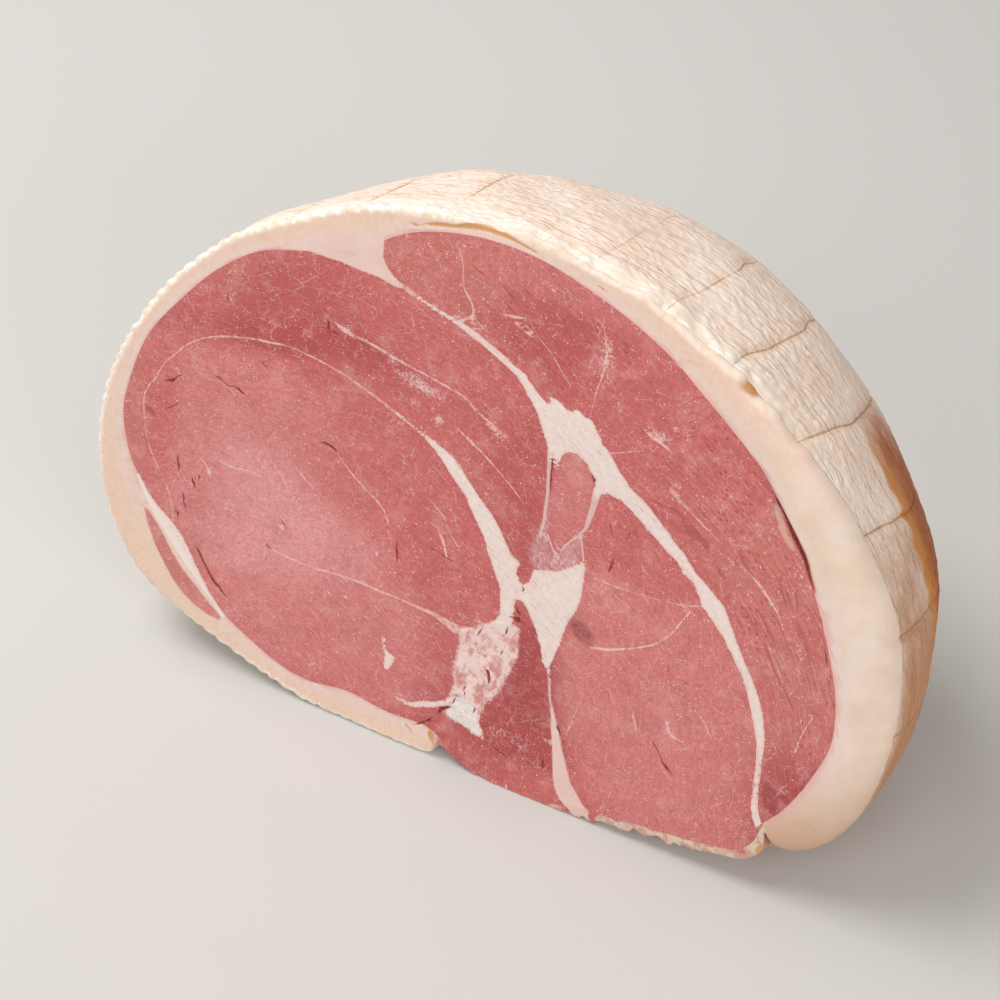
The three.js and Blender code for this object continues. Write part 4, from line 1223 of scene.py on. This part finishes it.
def rind_material(look):
    """The skin behind the face, dry and pale, with net marks, wrinkles and a golden patch."""
    material = bpy.data.materials.new("rind")
    t = Tree(material)
    mm = millimetres(t)
    skin = t.attr("skin", "Vector")
    skin_bend = t.node("ShaderNodeVectorMath")
    t.put(skin_bend.inputs[0], skin)
    t.put(skin_bend.inputs[1], t.scaled(t.colour_noise(mm, 0.08), (0, 0, 5)))
    bent = skin_bend.outputs[0]
    wrinkles = t.noise(t.scaled(bent, (0.07, 0.07, 0.5)), 1.0, 3, 0.55)
    wrinkles_fine = t.noise(t.scaled(bent, (0.13, 0.13, 1.5), (7, 0, 3)), 1.0, 2, 0.6)
    fine = t.noise(mm, 1.3, 4, 0.65)
    pebbles = t.cells(t.scaled(bent, (0.42, 0.42, 0.55)), 1.0)
    pebble = t.ramp(
        t.add(pebbles.outputs["Distance"], t.mul(t.centred(fine), 0.35)), 0.05, 0.75, 1.0, 0.0
    )
    depth = t.attr("depth")
    off_pole = t.ramp(depth, 70, 56)
    pebble = t.mul(pebble, off_pole)
    lines = None
    sway = t.noise(t.scaled(skin, (0.045, 0.045, 0.13), (9, 0, 0)), 1.0, 3, 0.55)
    for pitch, shift, width, share in (
        (3.1, 2, 0.075, 0.47), (1.9, 9, 0.085, 0.54), (5.3, 17, 0.04, 0.42)
    ):
        place = t.add(t.mul(depth, 1 / pitch), t.mul(sway, 8.0 / pitch))
        off = t.math("ABSOLUTE", t.centred(t.math("FRACT", place)))
        ridge = t.rest(t.ramp(t.add(off, t.mul(t.centred(fine), 0.1)), 0.0, width))
        broken = t.noise(t.scaled(skin, (0.09, 0.09, 0.3), (0, 0, shift)), 1.0, 2, 0.6)
        ridge = t.mul(ridge, t.ramp(broken, share, share + 0.12))
        ridge = t.mul(ridge, off_pole)
        lines = ridge if lines is None else t.math("MAXIMUM", lines, ridge)
    broad = t.noise(mm, 0.06, 3, 0.55)
    colour = t.shades(broad, 0.35, 0.65, "e5ccb9", "ead7c8")
    colour = t.tint(colour, "e6c9b3", t.ramp(t.noise(mm, 0.16, 3, 0.6), 0.48, 0.75, 0, 0.45))
    colour = t.tint(colour, "f2e7dd", pebble, 0.3)
    # Painted highlight on the raised wrinkles and painted shade in their hollows.
    colour = t.tint(colour, "faf2ea", t.ramp(wrinkles, 0.54, 0.7, 0, 0.25))
    colour = t.tint(colour, "dcb797", t.ramp(wrinkles, 0.44, 0.33), 0.2)
    colour = t.tint(colour, "c59268", lines, 0.48)
    colour = t.tint(colour, "dfb083", t.ramp(t.noise(mm, 0.45, 3, 0.6), 0.63, 0.75), 0.45)
    string_gap = t.add(t.math("ABSOLUTE", t.attr("string_side")), t.mul(t.centred(fine), 0.9))
    string = t.mul(t.rest(t.ramp(string_gap, 0.0, 0.36)), t.ramp(t.attr("string"), 0.08, 0.6))
    colour = t.tint(colour, "b9814f", string, 0.85)
    halo = t.mul(t.rest(t.ramp(string_gap, 0.5, 2.6)), t.ramp(t.attr("string"), 0.1, 0.6))
    colour = t.tint(colour, "dfb692", halo, 0.3)
    lump_cells = t.cells(t.scaled(bent, (0.26, 0.26, 0.34)), 1.0)
    lump = t.rest(t.ramp(t.add(lump_cells.outputs["Distance"], t.mul(t.centred(fine), 0.3)), 0.1, 0.75))
    shoulder = t.ramp(
        t.add(t.attr("shoulder"), t.mul(t.centred(t.noise(mm, 0.2, 3, 0.6)), 0.7)), 0.2, 0.6
    )
    colour = t.mix(t.mul(shoulder, 0.8), colour, t.tint(rgba("e8cdb2"), "f7eee3", lump))
    bead_gap = t.add(t.attr("bead_side"), t.mul(t.centred(t.noise(mm, 0.4, 3, 0.6)), 4.5))
    bead = t.mul(t.attr("bead"), t.rest(t.ramp(bead_gap, -0.8, 0.5)))
    bead_tone = t.shades(t.noise(mm, 0.1, 3, 0.6), 0.35, 0.65, "dfc6b1", "e5d1c2")
    high = t.node("ShaderNodeSeparateXYZ", Vector=mm)
    # Painted shade and painted warm bounce light: the smooth fat turns darker and browner towards the
    # floor.
    bead_tone = t.tint(bead_tone, "bd9071", t.ramp(high.outputs[2], 58, 8), 0.85)
    colour = t.mix(bead, colour, bead_tone)
    seam = t.mul(t.attr("bead"), t.rest(t.ramp(t.math("ABSOLUTE", bead_gap), 0.3, 2.0)))
    seam = t.mul(seam, t.ramp(t.noise(mm, 0.2, 2, 0.5), 0.4, 0.6))
    colour = t.tint(colour, "cf9862", seam, 0.8)
    smooth_part = t.rest(bead)
    # Painted shade and painted warm bounce light: low on the right the rind turns tan-brown, in patches,
    # fading next to the face and towards the back.
    patchy = t.mul(t.centred(broad), 55)
    tan = t.mul(
        t.ramp(t.add(high.outputs[2], patchy), 116, 66), t.ramp(t.add(high.outputs[0], patchy), 70, 102)
    )
    tan = t.mul(tan, t.mul(t.ramp(depth, 2, 13), t.ramp(depth, 70, 30, 0.25, 1.0)))
    colour = t.tint(colour, "b07446", tan, 0.85)
    rim = t.mul(t.attr("white_edge"), t.ramp(t.add(depth, t.mul(t.centred(fine), 4.0)), 10, 3))
    colour = t.tint(colour, "f4ece2", rim, 0.75)
    golden = t.ramp(
        t.add(t.attr("golden"), t.mul(t.centred(t.noise(mm, 0.07, 5, 0.65)), 0.9)), 0.2, 0.95
    )
    deep = t.mul(t.ramp(depth, 29, 40), t.ramp(depth, 60, 46, 0.25, 1.0))
    gold_tone = t.tint(rgba("cb8036"), "9c4208", deep)
    gold_tone = t.tint(gold_tone, "cf9a63", t.ramp(wrinkles_fine, 0.42, 0.65, 0, 0.3))
    colour = t.mix(t.mul(golden, 0.92), colour, gold_tone)
    bare = t.shades(t.noise(mm, 0.18, 4, 0.6), 0.4, 0.65, "b97f74", "cdaa98")
    bare = t.tint(bare, "dcc6b8", t.ramp(t.noise(mm, 0.5, 3, 0.6), 0.6, 0.72, 0, 0.7))
    colour = t.tint(colour, "bd8040", t.ramp(t.attr("dimple"), 0.08, 0.6, 0, 0.9))
    colour = t.mix(t.ramp(t.attr("rind"), 0.3, 0.7), bare, colour)
    height = t.mul(t.add(t.mul(wrinkles, 0.3), t.mul(wrinkles_fine, 0.08)), off_pole)
    height = t.add(height, t.mul(lines, -0.32))
    height = t.add(height, t.mul(pebble, 0.4))
    height = t.mul(height, t.rest(t.mul(shoulder, 0.7)))
    height = t.mul(height, t.math("MAXIMUM", smooth_part, 0.06))
    height = t.add(height, t.mul(fine, 0.2))
    height = t.add(height, t.mul(string, -0.5))
    height = t.add(height, t.mul(t.mul(shoulder, lump), 0.5))
    normal = t.bump(height, 0.001, 0.7)
    t.surface(
        colour, t.ramp(fine, 0.3, 0.7, look.rind_roughness - 0.06, look.rind_roughness + 0.06, "LINEAR"),
        normal, 0.0, look.subsurface_radius, 0.15,
    )
    return material


class HamShape(bpy.types.PropertyGroup):
    """Sizes of the joint."""

    face_width: FloatProperty(
        name="Face width", description="Width of the cut face", default=0.236, unit="LENGTH"
    )
    face_height: FloatProperty(
        name="Face height", description="Height of the cut face along its own plane", default=0.1675,
        unit="LENGTH",
    )
    face_lean: FloatProperty(
        name="Face lean", description="How far the cut face leans back", default=math.radians(16),
        subtype="ANGLE",
    )
    body_depth: FloatProperty(
        name="Body depth", description="Depth of the dome along its axis", default=0.095, unit="LENGTH"
    )
    axis_drop: FloatProperty(
        name="Axis drop", description="How far the dome's axis drops", default=math.radians(14),
        subtype="ANGLE",
    )
    axis_yaw: FloatProperty(
        name="Axis yaw", description="How far the dome's axis turns to the right",
        default=math.radians(10), subtype="ANGLE",
    )
    dome_power: FloatProperty(
        name="Dome power", description="2 is an ellipse, more is squarer", default=2.4
    )
    swell: FloatProperty(
        name="Swell", description="How far the rind swells behind the face", default=0.05
    )
    crease_depth: FloatProperty(
        name="Crease depth", description="Depth of the marks that the net left", default=0.0008,
        unit="LENGTH",
    )


class HamLook(bpy.types.PropertyGroup):
    """Finish of the joint."""

    meat_roughness: FloatProperty(
        name="Meat roughness", description="Roughness of the moist meat", default=0.46
    )
    fat_roughness: FloatProperty(name="Fat roughness", description="Roughness of the fat", default=0.5)
    rind_roughness: FloatProperty(
        name="Rind roughness", description="Roughness of the dry rind", default=0.62
    )
    subsurface: FloatProperty(
        name="Subsurface", description="How much light passes under the surface", default=0.12
    )
    subsurface_radius: FloatVectorProperty(
        name="Subsurface radius", description="How far red, green and blue light travel inside",
        default=(0.0022, 0.0011, 0.0008), subtype="XYZ",
    )


class HamStage(bpy.types.PropertyGroup):
    """Camera, floor and light."""

    azimuth: FloatProperty(
        name="Azimuth", description="Camera's turn to the right of the face", default=math.radians(27),
        subtype="ANGLE",
    )
    elevation: FloatProperty(
        name="Elevation", description="Camera's height above the horizon", default=math.radians(48),
        subtype="ANGLE",
    )
    field: FloatProperty(
        name="Field of view", description="Camera's field of view", default=math.radians(26),
        subtype="ANGLE",
    )
    distance: FloatProperty(
        name="Distance", description="Camera's distance from its target", default=0.5643, unit="LENGTH"
    )
    target: FloatVectorProperty(
        name="Target", description="Point that the camera looks at", default=(0.0046, -0.0344, 0.0891),
        subtype="TRANSLATION",
    )
    key_power: FloatProperty(
        name="Key power", description="Power of the large light at the upper left", default=9.0
    )
    fill_power: FloatProperty(
        name="Fill power", description="Power of the light at the front right", default=4.5
    )
    world: FloatProperty(
        name="World", description="Strength of the even light from all round", default=0.42
    )


class HAM_OT_build_joint(bpy.types.Operator):
    """Builds the ham joint with its materials"""

    bl_idname = "ham.build_joint"
    bl_label = "Build the joint"

    def execute(self, context):
        scene = context.scene
        mesh = ham_mesh(Body(scene.ham_shape))
        mesh.materials.append(face_material(scene.ham_look))
        mesh.materials.append(rind_material(scene.ham_look))
        depth = np.empty(len(mesh.vertices), np.float32)
        mesh.attributes["depth"].data.foreach_get("value", depth)
        behind = depth > 1e-4
        first = np.empty(len(mesh.polygons), int)
        mesh.polygons.foreach_get("loop_start", first)
        total = np.empty(len(mesh.polygons), int)
        mesh.polygons.foreach_get("loop_total", total)
        corners = np.empty(len(mesh.loops), int)
        mesh.loops.foreach_get("vertex_index", corners)
        on_rind = np.maximum.reduceat(behind[corners].astype(int), first)
        mesh.polygons.foreach_set("material_index", on_rind)
        joint = bpy.data.objects.new("ham", mesh)
        scene.collection.objects.link(joint)
        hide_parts("ham_joint")
        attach(joint, "root")
        return {"FINISHED"}


# Half the floor's width, the point that the lights face, and each light: its name, place, power
# and size, all in metres and watts.
FLOOR_HALF = 6.0
LIT_POINT = Vector((0, 0, 0.06))
LIGHTS = (
    ("key", (-0.55, 0.05, 0.95), lambda stage: stage.key_power, 0.55),
    ("front", (-0.25, -0.95, 0.75), lambda stage: stage.fill_power * 0.78, 0.7),
    ("fill", (0.85, -0.5, 0.5), lambda stage: stage.fill_power * 0.9, 0.6),
)


def soft_light(scene, name, place, power, size):
    """A square area light that faces the joint."""
    data = bpy.data.lights.new(name, "AREA")
    data.energy = power
    data.size = size
    lamp = bpy.data.objects.new(name, data)
    lamp.location = place
    lamp.rotation_mode = "QUATERNION"
    lamp.rotation_quaternion = (LIT_POINT - Vector(place)).to_track_quat("-Z", "Y")
    scene.collection.objects.link(lamp)


class HAM_OT_build_stage(bpy.types.Operator):
    """Builds the floor, the lights and the camera"""

    bl_idname = "ham.build_stage"
    bl_label = "Build the stage"

    def execute(self, context):
        scene = context.scene
        stage = scene.ham_stage
        floor_mesh = bpy.data.meshes.new("floor")
        corners = [(x * FLOOR_HALF, y * FLOOR_HALF, 0) for x, y in ((-1, -1), (1, -1), (1, 1), (-1, 1))]
        floor_mesh.from_pydata(corners, [], [(0, 1, 2, 3)])
        floor = bpy.data.objects.new("floor", floor_mesh)
        scene.collection.objects.link(floor)
        paper = bpy.data.materials.new("floor")
        paper.use_nodes = True
        shader = paper.node_tree.nodes["Principled BSDF"]
        shader.inputs["Base Color"].default_value = rgba("c4c1bd")
        shader.inputs["Roughness"].default_value = 0.8
        floor_mesh.materials.append(paper)
        for name, place, power, size in LIGHTS:
            soft_light(scene, name, place, power(stage), size)
        world = bpy.data.worlds.new("world")
        world.use_nodes = True
        sky = world.node_tree.nodes["Background"]
        sky.inputs["Color"].default_value = (1, 0.975, 0.945, 1)
        sky.inputs["Strength"].default_value = stage.world
        scene.world = world
        scene.view_settings.view_transform = "Standard"
        camera = bpy.data.cameras.new("camera")
        camera.sensor_width = 36
        camera.lens = 18 / math.tan(stage.field / 2)
        holder = bpy.data.objects.new("camera", camera)
        scene.collection.objects.link(holder)
        a, e = stage.azimuth, stage.elevation
        back = Vector((math.sin(a) * math.cos(e), -math.cos(a) * math.cos(e), math.sin(e)))
        holder.location = Vector(stage.target) + back * stage.distance
        holder.rotation_mode = "QUATERNION"
        holder.rotation_quaternion = (-back).to_track_quat("-Z", "Y")
        camera.clip_start = 0.01
        scene.camera = holder
        return {"FINISHED"}


class HAM_PT_panel(bpy.types.Panel):
    """Sidebar panel of the ham joint"""

    bl_label = "Ham joint"
    bl_idname = "HAM_PT_panel"
    bl_space_type = "VIEW_3D"
    bl_region_type = "UI"
    bl_category = "Ham joint"

    def draw(self, context):
        scene = context.scene
        for group in (scene.ham_shape, scene.ham_look, scene.ham_stage):
            box = self.layout.box()
            for name in group.__annotations__:
                box.prop(group, name)
        self.layout.operator("ham.build_joint")
        self.layout.operator("ham.build_stage")


CLASSES = (HamShape, HamLook, HamStage, HAM_OT_build_joint, HAM_OT_build_stage, HAM_PT_panel)


def register():
    for cls in CLASSES:
        bpy.utils.register_class(cls)
    bpy.types.Scene.ham_shape = PointerProperty(type=HamShape)
    bpy.types.Scene.ham_look = PointerProperty(type=HamLook)
    bpy.types.Scene.ham_stage = PointerProperty(type=HamStage)


def unregister():
    del bpy.types.Scene.ham_stage
    del bpy.types.Scene.ham_look
    del bpy.types.Scene.ham_shape
    for cls in reversed(CLASSES):
        bpy.utils.unregister_class(cls)


def main():
    """Builds the joint and its stage."""
    register()
    bpy.ops.ham.build_joint()
    bpy.ops.ham.build_stage()


if __name__ == "__main__":
    main()
